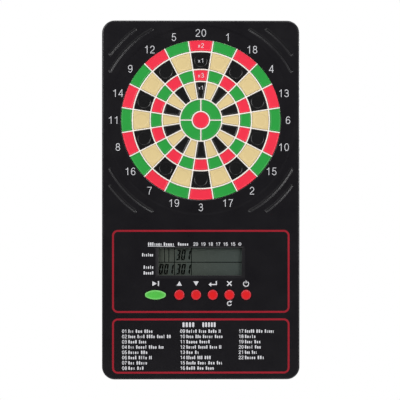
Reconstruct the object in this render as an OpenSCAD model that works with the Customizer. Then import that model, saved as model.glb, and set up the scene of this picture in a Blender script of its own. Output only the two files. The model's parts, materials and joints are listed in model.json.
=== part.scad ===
// Electronic dartboard that hangs on a wall.
// X is its width and Z its height, and its face looks along -Y.
// The origin is on the wall plane, straight behind the middle of the target.
// Every part is drawn face on: x to the right, y up, and z out from the wall.

/* [Case] */
// Width of the case
case_w = 240; // [238:1:256]
// Height of the case
case_h = 436; // [432:1:456]
// Depth of the case, from the wall to its face
case_d = 28; // [28:1:36]
// Radius of the case's corners, seen from the front
corner_r = 15.5; // [12:0.5:20]
// Thickness of the case's face
face_t = 2.4; // [2:0.1:2.6]
// Thickness of the case's side and rear walls
wall_t = 2.4; // [2:0.1:2.6]
// Height of the middle of the target above the middle of the case
target_rise = 97; // [95:0.5:97]

/* [Target] */
// Radius of the bullseye's hole in the grid
bull_r = 9.8; // [9:0.1:10]
// Width of a straight divider of the grid
divider_w = 1.5; // [1.3:0.1:2.2]
// Gap between a segment and the divider beside it
segment_gap = 0.3; // [0.2:0.05:0.4]
// How far a segment moves when it is hit
segment_travel = 1; // [0.6:0.1:1]

/* [Buttons] */
// Radius of a round button's cap
cap_r = 6.1; // [5.5:0.1:6.8]
// Distance between the round buttons
cap_pitch = 20.25; // [18:0.25:20.5]
// Height of a cap above the face of the case
cap_rise = 1.4; // [1:0.1:2.5]
// How far a button moves when it is pressed
button_travel = 1.2; // [0.6:0.1:1.2]

/* [Display] */
// Width of the display window
window_w = 101.4; // [96:0.1:104]
// Height of the display window
window_h = 33.4; // [30:0.1:36]

/* [Wall mounting] */
// Distance between the two keyholes
keyhole_pitch = 160; // [140:1:170]
// Radius of a keyhole's round entry
keyhole_r = 4.5; // [4:0.1:5]

/* [Hidden] */
$fn = 96;
SECTORS = [20, 1, 18, 4, 13, 6, 10, 15, 2, 17, 3, 19, 7, 16, 8, 11, 14, 9, 12, 5];
CELLS = [1, 2, 3];

// Colours
BLACK = "#1c1b1e";
CREAM = "#f2eadf";
RED = "#ee3c52";
GREEN = "#2fa346";
BEIGE = "#e0cb98";
CAP_RED = "#d92426";
CAP_GREEN = "#59bb4f";

// A little extra so that a cut goes clean through
cut = 1;
// How far a boss, post or rib reaches into the wall that carries it
join = 0.5;
// Larger than the whole case
far = 600;

// Layers of the case, counted out from the wall
split_z = 10;
inner_z = case_d - face_t;
ring_step = 0.4;
number_ring_r = 114.3;
opening_r = 97.3;

// Corner grooves: two arcs about the middle of the target in each corner
groove_radii = [125.1, 136];
groove_w = 4;
groove_depth = 1.2;
groove_limit = 110;

// Layers of the target
sector_angle = 18;
grid_front = case_d - 0.5;
grid_rear = case_d - 8;
segment_front = case_d - 0.1;
flange_front = grid_rear - 0.3;
flange_t = 1.2;
flange_lip = 0.5;
foot_h = 1.2;
foot_r = 1.6;
feet_tip = flange_front - flange_t - foot_h;
feet_clear = 0.4;
rubber_t = 1.5;
membrane_t = 0.4;
rubber_top = feet_tip - segment_travel - feet_clear;
membrane_top = rubber_top - rubber_t;
plate_top = membrane_top - membrane_t;
plate_t = 2.5;

// Each ring of cells: inner and outer radius
RING_CELLS = [[26.3, 46.2], [47.8, 60.8], [62.3, 82.4], [84, 97]];
bull_wall = 1.6;
bull_cell = [bull_r + bull_wall, 24.8];
target_r = RING_CELLS[3][1];
web_r = 106;
skirt_r = 103.5;
sheet_r = skirt_r - 0.4;
web_t = 2;
rim_t = 2.5;
rim_clear = 0.2;
ear_r = 3.6;
ear_circle = 110;
ear_t = 2.2;
ear_root = 0.6;
ear_count = 8;
ear_hole_r = 1.6;
boss_r = 3.2;
tail_w = 40;

// Display, keypad and circuit board
display_x = -0.8;
display_y = -171.9;
button_y = -212.2;
next_x = -55.2;
first_cap_x = -26.1;
next_half_w = 12.8;
next_half_h = 5.75;
next_end_r = 3.4;
button_gap = 0.3;
window_rim = 3.8;
window_rim_top = 1.6;
window_rim_depth = 1;
lens_t = 1.5;
lens_recess = 1.2;
board_w = 150;
board_h = 81;
board_y = -187.5;
board_t = 1.6;
board_top = case_d - 11.4;
board_bottom = board_top - board_t;
board_hole = [70, 36.5];
lcd_w = 106;
lcd_h = 38;
lcd_pane_t = 1.1;
lcd_rear = board_top + 4;
peg_r = 1.1;
flange_clear = 0.6;
cap_flange_t = 1.4;
stem_tip = case_d - 6.5;
stem_r = 3.4;
cap_flange_w = 1.6;
next_flange_w = 1.5;
mat_t = 1;
dome_clear = 0.4;
dome_top = stem_tip - button_travel - dome_clear;

// Keyholes in the rear casing
keyhole_y = 78;
keyhole_slot_r = 2.2;
keyhole_slot_l = 9;

// Battery compartment: three AA cells side by side
cell_r = 7.1;
cell_l = 50.5;
cell_pitch = 15.6;
bay_w = 57.2;
bay_h = 48;
bay_y = -276;
bay_top = 18;
bay_wall = 1.5;
bay_edge = bay_y + bay_h / 2;
contact_depth = 0.6;
cell_z = wall_t + 0.4 + cell_r;
door_gap = 0.3;
door_t = 1.8;
hook_x = 19;
hook_w = 8;
hook_reach = 1.2;
lead_r = 0.7;
lead_hole_r = 1.1;
lead_x = 24;
lead_y = -287;
lead_z = 16.3;

// Screws
screw_r = 1.3;
small_head_r = 2.8;
small_head_h = 1.8;
pilot_gap = 0.05;
post_r = 4.6;
post_inset = 12;
post_rows = [109, -122, -212, -303];
CASE_POSTS = [for (y = post_rows) for (s = [-1, 1]) [s * (case_w / 2 - post_inset), y]];
case_post_split = 14;
case_screw_seat = 9;

// ---------- shared shapes ----------

// Turns a part that is drawn face on so that it stands up and faces -Y
module face_on() {
    rotate([90, 0, 0]) children();
}

// Slab between two distances from the wall, made of circles and squares
module rounded_slab(w, h, r, z0, z1) {
    translate([0, 0, z0]) linear_extrude(z1 - z0) union() {
        square([w - 2 * r, h], center = true);
        square([w, h - 2 * r], center = true);
        for (sx = [-1, 1])
            for (sy = [-1, 1])
                translate([sx * (w / 2 - r), sy * (h / 2 - r)]) circle(r);
    }
}

// Plain block centred on x and y, between two distances from the wall
module block(w, h, z0, z1) {
    translate([-w / 2, -h / 2, z0]) cube([w, h, z1 - z0]);
}

// Disc between two distances from the wall
module disc(r, z0, z1) {
    translate([0, 0, z0]) cylinder(r = r, h = z1 - z0);
}

// Flat ring between two distances from the wall
module ring(r_in, r_out, z0, z1) {
    difference() {
        disc(r_out, z0, z1);
        disc(r_in, z0 - cut, z1 + cut);
    }
}

// Moves its children to the middle of the case
module at_case() {
    translate([0, -target_rise, 0]) children();
}

// Oval slab of four arcs: two flat ones that cross, and a small one at each end
module oval_slab(half_w, half_h, end_r, grow, z0, z1) {
    end_x = half_w - end_r;
    flank_r = (end_x * end_x + half_h * half_h - end_r * end_r) / (2 * (half_h - end_r));
    meet_x = end_x * (flank_r + grow) / (flank_r - end_r);
    intersection() {
        intersection_for (s = [-1, 1])
            translate([0, s * (flank_r - half_h), 0]) disc(flank_r + grow, z0, z1);
        block(2 * meet_x, far, z0, z1);
    }
    for (s = [-1, 1]) translate([s * end_x, 0, 0]) disc(end_r + grow, z0, z1);
}

// Pan-head screw: its head is below z = 0 and its shank points out from the wall
module screw(head_r, head_h, shank_r, shank_l) {
    difference() {
        union() {
            disc(head_r, -head_h, 0);
            disc(shank_r, 0, shank_l);
        }
        for (a = [0, 90])
            rotate(a) block(head_r * 1.2, 0.6, -head_h - cut, -head_h * 0.45);
    }
}

// Places children on the eight fixing ears around the target
module at_ears() {
    for (i = [0 : ear_count - 1])
        rotate((i + 0.5) * 360 / ear_count) translate([ear_circle, 0, 0]) children();
}

// Places children at the circuit board's four corner holes
module at_board_holes() {
    for (sx = [-1, 1])
        for (sy = [-1, 1])
            translate([sx * board_hole[0], board_y + sy * board_hole[1], 0]) children();
}

// ---------- case ----------

// One arc groove with round ends, in the corner between +x and +y
module corner_groove(r) {
    start = acos(groove_limit / r);
    sweep = 90 - 2 * start;
    translate([0, 0, case_d - groove_depth]) {
        rotate(start) rotate_extrude(angle = sweep)
            translate([r - groove_w / 2, 0]) square([groove_w, groove_depth + cut]);
        for (a = [start, start + sweep])
            rotate(a) translate([r, 0, 0]) cylinder(r = groove_w / 2, h = groove_depth + cut);
    }
}

// Oval of the next button, grown by an even margin
module next_slab(grow, z0, z1) {
    oval_slab(next_half_w, next_half_h, next_end_r, grow, z0, z1);
}

module button_holes() {
    translate([next_x, button_y, 0])
        next_slab(button_gap, inner_z - cut, case_d + cut);
    for (i = [0 : 4])
        translate([first_cap_x + i * cap_pitch, button_y, 0])
            disc(cap_r + button_gap, inner_z - cut, case_d + cut);
}

// Display window: a straight opening with a sloping rim, narrower above than beside and below
module window_opening() {
    rim_w = window_w + 2 * window_rim;
    rim_h = window_h + window_rim + window_rim_top;
    translate([display_x, display_y, 0]) {
        block(window_w, window_h, inner_z - cut, case_d + cut);
        hull() {
            block(window_w, window_h, case_d - window_rim_depth, case_d);
            translate([0, (window_rim_top - window_rim) / 2, 0]) block(rim_w, rim_h, case_d, case_d + cut);
        }
    }
}

module front_casing() {
    pilot_r = screw_r + pilot_gap;
    pilot_end = inner_z - 0.6;
    color(BLACK) face_on() difference() {
        union() {
            at_case() difference() {
                rounded_slab(case_w, case_h, corner_r, split_z, case_d);
                rounded_slab(case_w - 2 * wall_t, case_h - 2 * wall_t, corner_r - wall_t,
                             split_z - cut, inner_z);
            }
            at_ears() disc(boss_r, plate_top + ear_t, inner_z + join);
            at_board_holes() disc(boss_r, board_top, inner_z + join);
            for (p = CASE_POSTS) translate(p) disc(post_r, case_post_split, inner_z + join);
        }
        disc(opening_r, inner_z - cut, case_d + cut);
        disc(number_ring_r, case_d - ring_step, case_d + cut);
        for (q = [0 : 3])
            for (r = groove_radii)
                rotate(90 * q) corner_groove(r);
        window_opening();
        button_holes();
        at_ears() disc(pilot_r, 0, pilot_end);
        at_board_holes() disc(pilot_r, 0, pilot_end);
        for (p = CASE_POSTS) translate(p) disc(pilot_r, 0, pilot_end);
    }
}

// Keyhole: a round entry and a narrower slot above it
module keyhole() {
    disc(keyhole_r, -cut, wall_t + cut);
    translate([-keyhole_slot_r, 0, -cut])
        cube([2 * keyhole_slot_r, keyhole_slot_l, wall_t + 2 * cut]);
    translate([0, keyhole_slot_l, 0]) disc(keyhole_slot_r, -cut, wall_t + cut);
}

module rear_casing() {
    seam = 0.3;
    lip_w = case_w - 2 * wall_t - 0.3;
    lip_h = case_h - 2 * wall_t - 0.3;
    lip_t = 1.4;
    lip_r = corner_r - wall_t;
    lip_root = split_z - 2;
    lip_top = split_z + 2.4;
    pocket_h = 2.3;
    pocket_gap = 0.4;
    head_gap_r = 3.6;
    shank_gap_r = 1.7;
    color(BLACK) face_on() difference() {
        union() {
            at_case() difference() {
                union() {
                    rounded_slab(case_w - 2 * seam, case_h - 2 * seam, corner_r - seam, 0, split_z);
                    rounded_slab(lip_w, lip_h, lip_r, lip_root, lip_top);
                }
                rounded_slab(lip_w - 2 * lip_t, lip_h - 2 * lip_t, lip_r - lip_t,
                             wall_t, lip_top + cut);
            }
            for (p = CASE_POSTS) translate(p) disc(post_r, wall_t - join, case_post_split);
            translate([0, bay_y, 0]) block(bay_w + 2 * bay_wall, bay_h + 2 * bay_wall,
                                           wall_t - join, bay_top + bay_wall);
        }
        translate([0, bay_y, 0]) block(bay_w, bay_h, -cut, bay_top);
        for (p = CASE_POSTS) translate(p) {
            disc(head_gap_r, -cut, case_screw_seat);
            disc(shank_gap_r, 0, case_post_split + cut);
        }
        for (s = [-1, 1]) translate([s * keyhole_pitch / 2, keyhole_y, 0]) keyhole();
        // Ways through for the two battery leads
        translate([lead_x, bay_edge + bay_wall / 2, lead_z])
            rotate([90, 0, 0]) cylinder(r = lead_hole_r, h = 3 * bay_wall, center = true);
        translate([-bay_w / 2 - bay_wall / 2, lead_y, lead_z])
            rotate([0, 90, 0]) cylinder(r = lead_hole_r, h = 3 * bay_wall, center = true);
        // Pockets in the bay's lower wall for the door's hooks
        for (s = [-1, 1])
            translate([s * hook_x, bay_y - bay_h / 2 - hook_reach / 2, 0])
                block(hook_w + 1, hook_reach + 2 * pocket_gap, wall_t, wall_t + pocket_h);
    }
}

module casing_screws() {
    head_r = 3.1;
    head_h = 2.2;
    shank_l = 13;
    color("silver") face_on()
        for (p = CASE_POSTS)
            translate([p[0], p[1], case_screw_seat]) screw(head_r, head_h, screw_r, shank_l);
}

// ---------- target ----------

// Straight divider of the grid along +y, between two radii
module divider(r0, r1) {
    translate([-divider_w / 2, r0, grid_rear])
        cube([divider_w, r1 - r0, grid_front - grid_rear]);
}

module segment_grid() {
    ring_walls = [[bull_r, bull_cell[0]], [bull_cell[1], RING_CELLS[0][0]],
                  [RING_CELLS[0][1], RING_CELLS[1][0]], [RING_CELLS[1][1], RING_CELLS[2][0]],
                  [RING_CELLS[2][1], RING_CELLS[3][0]]];
    color(CREAM) face_on() difference() {
        union() {
            for (w = ring_walls) ring(w[0], w[1], grid_rear, grid_front);
            for (i = [0 : 19])
                rotate((i + 0.5) * sector_angle)
                    divider(bull_cell[1] + join, target_r + 0.15);
            for (i = [0 : 3])
                rotate(90 * i)
                    divider(bull_r + join, RING_CELLS[0][0] - join);
            ring(target_r, target_r + rim_t, grid_rear, inner_z - rim_clear);
            ring(target_r, web_r, grid_rear, grid_rear + web_t);
            ring(skirt_r, web_r, plate_top, grid_rear + web_t);
            at_ears() translate([-ear_r / 2 - ear_root, 0, 0])
                block(ear_r + 2 * ear_root, 2 * ear_r, plate_top, plate_top + ear_t);
            at_ears() disc(ear_r, plate_top, plate_top + ear_t);
        }
        at_ears() disc(ear_hole_r, plate_top - cut, plate_top + ear_t + cut);
        // Notch in the skirt for the membrane's tail
        translate([0, -web_r, 0]) block(tail_w + 2, 14, plate_top - cut, plate_top + 1);
    }
}

// Sector-shaped slab about +y: part of a ring, cut parallel to the dividers beside it
module sector_slab(r_in, r_out, half_angle, side, z0, z1) {
    difference() {
        ring(r_in, r_out, z0, z1);
        rotate(-half_angle) translate([-side, -far / 2, z0 - cut]) cube([far, far, z1 - z0 + 2 * cut]);
        rotate(half_angle) translate([side - far, -far / 2, z0 - cut]) cube([far, far, z1 - z0 + 2 * cut]);
    }
}

// One segment: its head, the flange behind the grid, and feet at [radius, angle]
module segment(cell, half_angle, feet) {
    head_side = divider_w / 2 + segment_gap;
    flange_side = divider_w / 2 - flange_lip;
    sector_slab(cell[0] + segment_gap, cell[1] - segment_gap, half_angle, head_side,
                flange_front, segment_front);
    sector_slab(cell[0] - flange_lip, cell[1] + flange_lip, half_angle, flange_side,
                flange_front - flange_t, flange_front);
    for (f = feet)
        rotate(f[1]) translate([0, f[0], 0]) disc(foot_r, feet_tip, flange_front);
}

module sector(i) {
    even = i % 2 == 0;
    shades = even ? [BLACK, RED, BLACK, RED] : [BEIGE, GREEN, BEIGE, GREEN];
    feet = [[[32, 0], [41, 0]],
            [[55, -4], [55, 4]],
            [[68.5, -5], [68.5, 5], [77, -5], [77, 5]],
            [[90.7, -5.5], [90.7, 5.5]]];
    face_on() rotate(-i * sector_angle)
        for (k = [0 : 3])
            color(shades[k]) segment(RING_CELLS[k], sector_angle / 2, feet[k]);
}

module outer_bull() {
    color(GREEN) face_on()
        for (q = [0 : 3])
            rotate(45 + 90 * q) segment(bull_cell, 45, [[18, -20], [18, 20]]);
}

module bullseye() {
    foot_circle = 5.5;
    color(RED) face_on() {
        disc(bull_r - segment_gap, flange_front, segment_front);
        disc(bull_r + flange_lip, flange_front - flange_t, flange_front);
        for (a = [0 : 120 : 240])
            rotate(a) translate([0, foot_circle, 0]) disc(foot_r, feet_tip, flange_front);
    }
}

module rubber_sheet() {
    color("#3a3a3c") face_on() disc(sheet_r, membrane_top, rubber_top);
}

module switch_membrane() {
    tail_start = 90;
    tail_end = board_y + board_h / 2 - 5;
    color("#c8d2d6") face_on() {
        disc(sheet_r, plate_top, membrane_top);
        translate([-tail_w / 2, tail_end, plate_top])
            cube([tail_w, -tail_end - tail_start, membrane_t]);
    }
}

module target_back_plate() {
    color("#26262a") face_on() difference() {
        union() {
            disc(web_r, plate_top - plate_t, plate_top);
            at_ears() disc(ear_r, plate_top - plate_t, plate_top);
        }
        at_ears() disc(ear_hole_r, plate_top - plate_t - cut, plate_top + cut);
    }
}

module target_screws() {
    color("silver") face_on()
        at_ears() translate([0, 0, plate_top - plate_t])
            screw(small_head_r, small_head_h, screw_r, 10);
}

// ---------- display ----------

module window_lens() {
    edge = 0.2;
    border = 2.6;
    overlap = 0.1;
    color([0.75, 0.8, 0.8, 0.35]) face_on() translate([display_x, display_y, 0]) {
        block(window_w + 2 * border, window_h + 2 * border, inner_z - lens_t, inner_z);
        block(window_w - 2 * edge, window_h - 2 * edge, inner_z - overlap, case_d - lens_recess);
    }
}

module lcd_glass() {
    ledge = 2.2;
    color("#7d8a7e") face_on() translate([display_x, display_y, 0]) {
        block(lcd_w, lcd_h, lcd_rear, lcd_rear + lcd_pane_t);
        translate([0, ledge / 2 - 0.3, 0])
            block(lcd_w, lcd_h - ledge, lcd_rear + lcd_pane_t, lcd_rear + 2 * lcd_pane_t);
    }
}

// Places children at the four pegs that hold the LCD holder to the circuit board
module at_holder_pegs() {
    for (sx = [-1, 1])
        for (sy = [-1, 1])
            translate([display_x + sx * 54.6, display_y + sy * 21, 0]) children();
}

module lcd_holder() {
    holder_w = 112;
    holder_h = 46;
    holder_d = 7.2;
    lip_t = 0.9;
    lip_w = 1.2;
    play = 0.4;
    color("#e9e6e0") face_on() {
        translate([display_x, display_y, 0]) difference() {
            block(holder_w, holder_h, board_top, board_top + holder_d);
            block(lcd_w + play, lcd_h + play, board_top - cut, board_top + holder_d - lip_t);
            block(lcd_w - 2 * lip_w, lcd_h - 2 * lip_w, board_top, board_top + holder_d + cut);
        }
        at_holder_pegs() disc(peg_r, board_bottom - 0.8, board_top + join);
    }
}

module zebra_strips() {
    strip_l = 98;
    strip_t = 2.4;
    strip_y = 17;
    color("#6f6a70") face_on()
        for (s = [-1, 1])
            translate([display_x, display_y + s * strip_y, 0]) block(strip_l, strip_t, board_top, lcd_rear);
}

// ---------- circuit board and keypad ----------

module circuit_board() {
    color("#2d6b3a") face_on() difference() {
        translate([0, board_y, 0]) block(board_w, board_h, board_bottom, board_top);
        at_board_holes() disc(screw_r + 0.3, board_bottom - cut, board_top + cut);
        at_holder_pegs() disc(peg_r + 0.05, board_bottom - cut, board_top + cut);
    }
}

module chip_blob() {
    dome_r = 20;
    blob_h = 1.9;
    blob_limit = 12;
    color("#151515") face_on() translate([4, -186, board_bottom]) mirror([0, 0, 1])
        intersection() {
            translate([0, 0, blob_h - dome_r]) sphere(r = dome_r);
            cylinder(r = blob_limit, h = 5);
        }
}

module capacitors() {
    can_r = 2.5;
    can_h = 4.6;
    color("#24406e") face_on()
        for (x = [-46, -38])
            translate([x, -182, 0]) disc(can_r, board_bottom - can_h, board_bottom);
}

module buzzer() {
    can_r = 6;
    can_h = 4.8;
    sound_hole_r = 1;
    color("#202022") face_on() translate([46, -184, 0]) difference() {
        disc(can_r, board_bottom - can_h, board_bottom);
        disc(sound_hole_r, board_bottom - can_h - cut, board_bottom - 2);
    }
}

module membrane_connector() {
    color("#efece4") face_on() difference() {
        translate([0, board_y + board_h / 2 - 4, 0])
            block(tail_w + 6, 5.4, board_bottom - 3, board_bottom);
        translate([0, board_y + board_h / 2 - 3, 0])
            block(tail_w + 1, 4.2, plate_top - 0.1, membrane_top + 0.1);
    }
}

module board_screws() {
    color("silver") face_on()
        at_board_holes() translate([0, 0, board_bottom])
            screw(small_head_r, small_head_h, screw_r, 8);
}

module keypad_mat() {
    mat_w = 132;
    mat_h = 17;
    dome_foot_r = 5.4;
    dome_tip_r = 3.6;
    color("#d8d4cc") face_on() translate([0, button_y, 0]) {
        translate([-1, 0, 0]) block(mat_w, mat_h, board_top, board_top + mat_t);
        for (x = concat([next_x], [for (i = [0 : 4]) first_cap_x + i * cap_pitch]))
            translate([x, 0, board_top + mat_t])
                cylinder(r1 = dome_foot_r, r2 = dome_tip_r, h = dome_top - board_top - mat_t);
    }
}

module stem_of_button() {
    disc(stem_r, stem_tip, inner_z - flange_clear);
}

module round_button(i) {
    color(CAP_RED) face_on() translate([first_cap_x + i * cap_pitch, button_y, 0]) {
        disc(cap_r, inner_z - flange_clear - cap_flange_t, case_d + cap_rise);
        disc(cap_r + cap_flange_w, inner_z - flange_clear - cap_flange_t, inner_z - flange_clear);
        stem_of_button();
    }
}

module next_button() {
    color(CAP_GREEN) face_on() translate([next_x, button_y, 0]) {
        next_slab(0, inner_z - flange_clear - cap_flange_t, case_d + cap_rise);
        next_slab(next_flange_w, inner_z - flange_clear - cap_flange_t, inner_z - flange_clear);
        stem_of_button();
    }
}

// ---------- battery compartment ----------

// The door turns about the lower edge of its opening, on the case's rear face
module battery_door() {
    latch_w = 14;
    latch_l = 9;
    slit = 0.8;
    toe_z = wall_t + 0.3;
    toe_t = 1.2;
    stub_t = 1.2;
    ridge_w = 0.7;
    ridge_depth = 0.4;
    ridge_inset = 3;
    ridge_pitch = 1.6;
    color(BLACK) face_on() translate([0, bay_y, 0]) difference() {
        union() {
            block(bay_w - 2 * door_gap, bay_h - 2 * door_gap, 0, door_t);
            for (s = [-1, 1])
                translate([s * hook_x - hook_w / 2, -bay_h / 2, 0]) {
                    translate([0, door_gap, door_t - 0.2])
                        cube([hook_w, stub_t, toe_z + toe_t - door_t + 0.2]);
                    translate([0, -hook_reach, toe_z])
                        cube([hook_w, hook_reach + door_gap + stub_t, toe_t]);
                }
        }
        // Slits that free the spring latch at the upper edge, and its finger ridges
        for (s = [-1, 1])
            translate([s * latch_w / 2, bay_h / 2 - latch_l / 2, 0])
                block(slit, latch_l, -cut, door_t + cut);
        for (i = [0 : 2])
            translate([0, bay_h / 2 - ridge_inset - ridge_pitch * i, 0])
                block(latch_w - 4, ridge_w, -cut, ridge_depth);
    }
}

// Puts a cell, or its contacts, in the bay: cells point left and right by turns
module at_cell(n) {
    translate([0, bay_y + (n - 2) * cell_pitch, cell_z]) rotate(n % 2 == 0 ? 180 : 0) children();
}

module battery_cell(n) {
    nub_l = 1.2;
    nub_r = 2.7;
    seat = bay_w / 2 - contact_depth;
    color("#3b7a57") face_on() at_cell(n) rotate([0, 90, 0]) {
        disc(cell_r, seat - cell_l, seat - nub_l);
        disc(nub_r, seat - nub_l - 0.2, seat);
    }
}

module contact_plates() {
    plate_w = 12;
    plate_h = 11;
    half_t = 0.25;
    color("silver") face_on()
        for (n = CELLS) at_cell(n)
            for (s = [-1, 1]) translate([s * (bay_w - contact_depth) / 2, 0, 0]) rotate([0, 90, 0])
                block(plate_h, plate_w, -half_t, half_t);
}

// Direction of a path of points at point i
function unit(v) = v / norm(v);
function heading(path, i) = unit(path[min(i + 1, len(path) - 1)] - path[max(i - 1, 0)]);

// Round wire along a path; side_of is any direction that the path never runs along
module wire(path, r, side_of) {
    sides = 8;
    last = len(path) - 1;
    skin = [for (i = [0 : last])
        let (t = heading(path, i), a = unit(cross(t, side_of)), b = cross(t, a))
            for (k = [0 : sides - 1])
                path[i] + r * (cos(360 * k / sides) * a + sin(360 * k / sides) * b)];
    walls = [for (i = [0 : last - 1]) for (k = [0 : sides - 1])
        let (this = i * sides + k, next = i * sides + (k + 1) % sides)
            [this, this + sides, next + sides, next]];
    start_cap = [for (k = [0 : sides - 1]) k];
    end_cap = [for (k = [sides - 1 : -1 : 0]) last * sides + k];
    polyhedron(points = skin, faces = concat([start_cap], walls, [end_cap]));
}

// Conical coil along +x, from radius r0 to radius r1
function coil_path(turns, r0, r1, length) =
    [for (t = [0 : 1 / (12 * turns) : 1.001])
        let (r = r0 + (r1 - r0) * t, a = 360 * turns * t)
            [length * t, r * cos(a), r * sin(a)]];

module contact_springs() {
    reach = bay_w - contact_depth - cell_l;
    turns = 3;
    base_r = 4.6;
    tip_r = 2.4;
    wire_r = 0.4;
    color("silver") face_on()
        for (n = CELLS) at_cell(n)
            translate([-bay_w / 2 + 1, 0, 0])
                wire(coil_path(turns, base_r, tip_r, reach - 1.5), wire_r, [1, 0, 0]);
}

// Each lead runs from an end contact, out of the bay through its wall, to the board's rear
module positive_lead() {
    color("#b3201f") face_on()
        wire([[27.7, bay_edge - 4.5, 16.1], [25.6, bay_edge - 2, 16.3], [lead_x, bay_edge, lead_z],
              [lead_x, bay_edge + 3, lead_z], [23, bay_edge + 8, 15], [21, bay_edge + 15, 13.2],
              [19, bay_edge + 21, 12.7], [17.5, bay_edge + 26, 13.4],
              [17, bay_edge + 30, board_bottom - 0.8]], lead_r, [0, 0, 1]);
}

module negative_lead() {
    side = -bay_w / 2;
    color("#19191b") face_on()
        wire([[side + 1.6, lead_y - 0.4, 16.1], [side + 0.8, lead_y, lead_z],
              [side - 2, lead_y + 0.2, lead_z], [side - 4.4, lead_y + 3.5, 15.9],
              [side - 5.2, lead_y + 20, 14], [side - 4.6, lead_y + 38, 13],
              [side - 2.6, lead_y + 54, 12.6], [side - 0.8, lead_y + 60, 13.3],
              [side, lead_y + 64, board_bottom - 0.8]], lead_r, [0, 0, 1]);
}

front_casing();
rear_casing();
segment_grid();
for (i = [0 : 19])
    sector(i);
outer_bull();
bullseye();
rubber_sheet();
switch_membrane();
target_back_plate();
target_screws();
window_lens();
lcd_glass();
lcd_holder();
zebra_strips();
circuit_board();
chip_blob();
capacitors();
buzzer();
membrane_connector();
board_screws();
keypad_mat();
next_button();
round_button(0);  // up_button
round_button(1);  // down_button
round_button(2);  // enter_button
round_button(3);  // miss_button
round_button(4);  // power_button
battery_door();
contact_springs();
contact_plates();
for (n = CELLS)
    battery_cell(n);
positive_lead();
negative_lead();
casing_screws();
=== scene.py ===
"""Looks of the wall dartboard: what shows is built here, in millimetres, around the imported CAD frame."""

import json
import math
import random

import bmesh
import bpy
import numpy as np
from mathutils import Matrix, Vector
from mathutils.geometry import delaunay_2d_cdt


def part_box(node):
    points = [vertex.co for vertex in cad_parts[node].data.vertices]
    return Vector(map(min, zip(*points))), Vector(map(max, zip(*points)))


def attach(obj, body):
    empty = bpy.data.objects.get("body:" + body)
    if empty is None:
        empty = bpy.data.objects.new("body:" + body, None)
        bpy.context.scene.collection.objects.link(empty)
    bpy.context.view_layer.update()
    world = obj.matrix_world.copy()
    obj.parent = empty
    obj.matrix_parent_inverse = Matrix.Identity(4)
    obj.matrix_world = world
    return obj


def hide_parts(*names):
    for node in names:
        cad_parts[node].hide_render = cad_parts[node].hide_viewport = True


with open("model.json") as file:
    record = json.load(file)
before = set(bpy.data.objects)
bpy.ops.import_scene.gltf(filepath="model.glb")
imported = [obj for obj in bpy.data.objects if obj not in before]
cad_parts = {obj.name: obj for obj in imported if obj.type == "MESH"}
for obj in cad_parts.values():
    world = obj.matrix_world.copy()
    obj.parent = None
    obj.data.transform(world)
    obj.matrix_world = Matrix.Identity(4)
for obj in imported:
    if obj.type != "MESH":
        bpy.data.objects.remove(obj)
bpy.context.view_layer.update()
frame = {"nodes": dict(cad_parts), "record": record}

# ---------- sizes, in millimetres, seen face on: x right, z up, out = distance from the wall ----------

MM = 0.001
CASE = "case"


def node_box(node):
    """Lowest and highest corner of a CAD node as (x, z, out), in millimetres."""
    lo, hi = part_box(node)
    return (lo.x / MM, lo.z / MM, -hi.y / MM), (hi.x / MM, hi.z / MM, -lo.y / MM)


def node_rear(node):
    return node_box(node)[0][2]


def node_front(node):
    return node_box(node)[1][2]


def node_middle(node):
    lo, hi = node_box(node)
    return (lo[0] + hi[0]) / 2, (lo[1] + hi[1]) / 2


case_lo, case_hi = node_box("front_casing")
CASE_W = case_hi[0] - case_lo[0]
CASE_H = case_hi[1] - case_lo[1]
CASE_MID = (case_lo[1] + case_hi[1]) / 2
FACE = case_hi[2]
SPLIT = case_lo[2]
CORNER_R = 15.5
WALL = 2.4
INNER = FACE - WALL
CASE_EDGE = 2.0
SEAM = 0.3
SEAM_BEVEL = 0.4

TARGET_STEP = 0.4
STEP_R = 114.3
OPENING_R = 97.3
GROOVE_RADII = (125.1, 136.0)
GROOVE_W = 4.0
GROOVE_DEPTH = 1.2
GROOVE_LIMIT = 110.0

SECTORS = (20, 1, 18, 4, 13, 6, 10, 15, 2, 17, 3, 19, 7, 16, 8, 11, 14, 9, 12, 5)
SECTOR = math.radians(18)
DIVIDER = 1.5
GAP = 0.3
RING_NAMES = ("inner_single", "triple", "outer_single", "double")
RING_CELLS = ((26.3, 46.2), (47.8, 60.8), (62.3, 82.4), (84.0, 97.0))
BULL_HOLE = 9.8
BULL_CELL = (11.4, 24.8)
GRID_TOP = FACE - 0.5
GRID_EDGE = 0.4
FEET_TIP = node_rear("sector_20")
FEET_L = 1.2
FLANGE_T = 1.2
FLANGE_LIP = 0.5 + GAP
FLANGE_TOP = FEET_TIP + FEET_L + FLANGE_T
GRID_REAR = FLANGE_TOP + 0.3
SEGMENT_TOP = node_front("sector_20")

NUMBER_R = 105.9
NUMBER_H = 9.2

lens_lo, lens_hi = node_box("window_lens")
LENS_BORDER = 2.6
WINDOW_W = lens_hi[0] - lens_lo[0] - 2 * LENS_BORDER
WINDOW_H = lens_hi[1] - lens_lo[1] - 2 * LENS_BORDER
WINDOW_X, WINDOW_Z = node_middle("window_lens")
RIM_W = 3.8
RIM_TOP = 1.6
RIM_DEPTH = 1.0
ROUND_BUTTONS = ("up_button", "down_button", "enter_button", "miss_button", "power_button")
CAP_FLANGE_W = 1.6
NEXT_FLANGE_W = 1.5
CAP_R = (node_box("up_button")[1][0] - node_box("up_button")[0][0]) / 2 - CAP_FLANGE_W
CAP_TOP = node_front("up_button")
NEXT_HALF_W = 12.8
NEXT_HALF_H = 5.75
NEXT_END_R = 3.4
BUTTON_GAP = 0.3

INK_T = 0.05

rng = random.Random(301)

# ---------- outlines: each is a function of how far it is grown, and gives (x, z) points ----------


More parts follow.
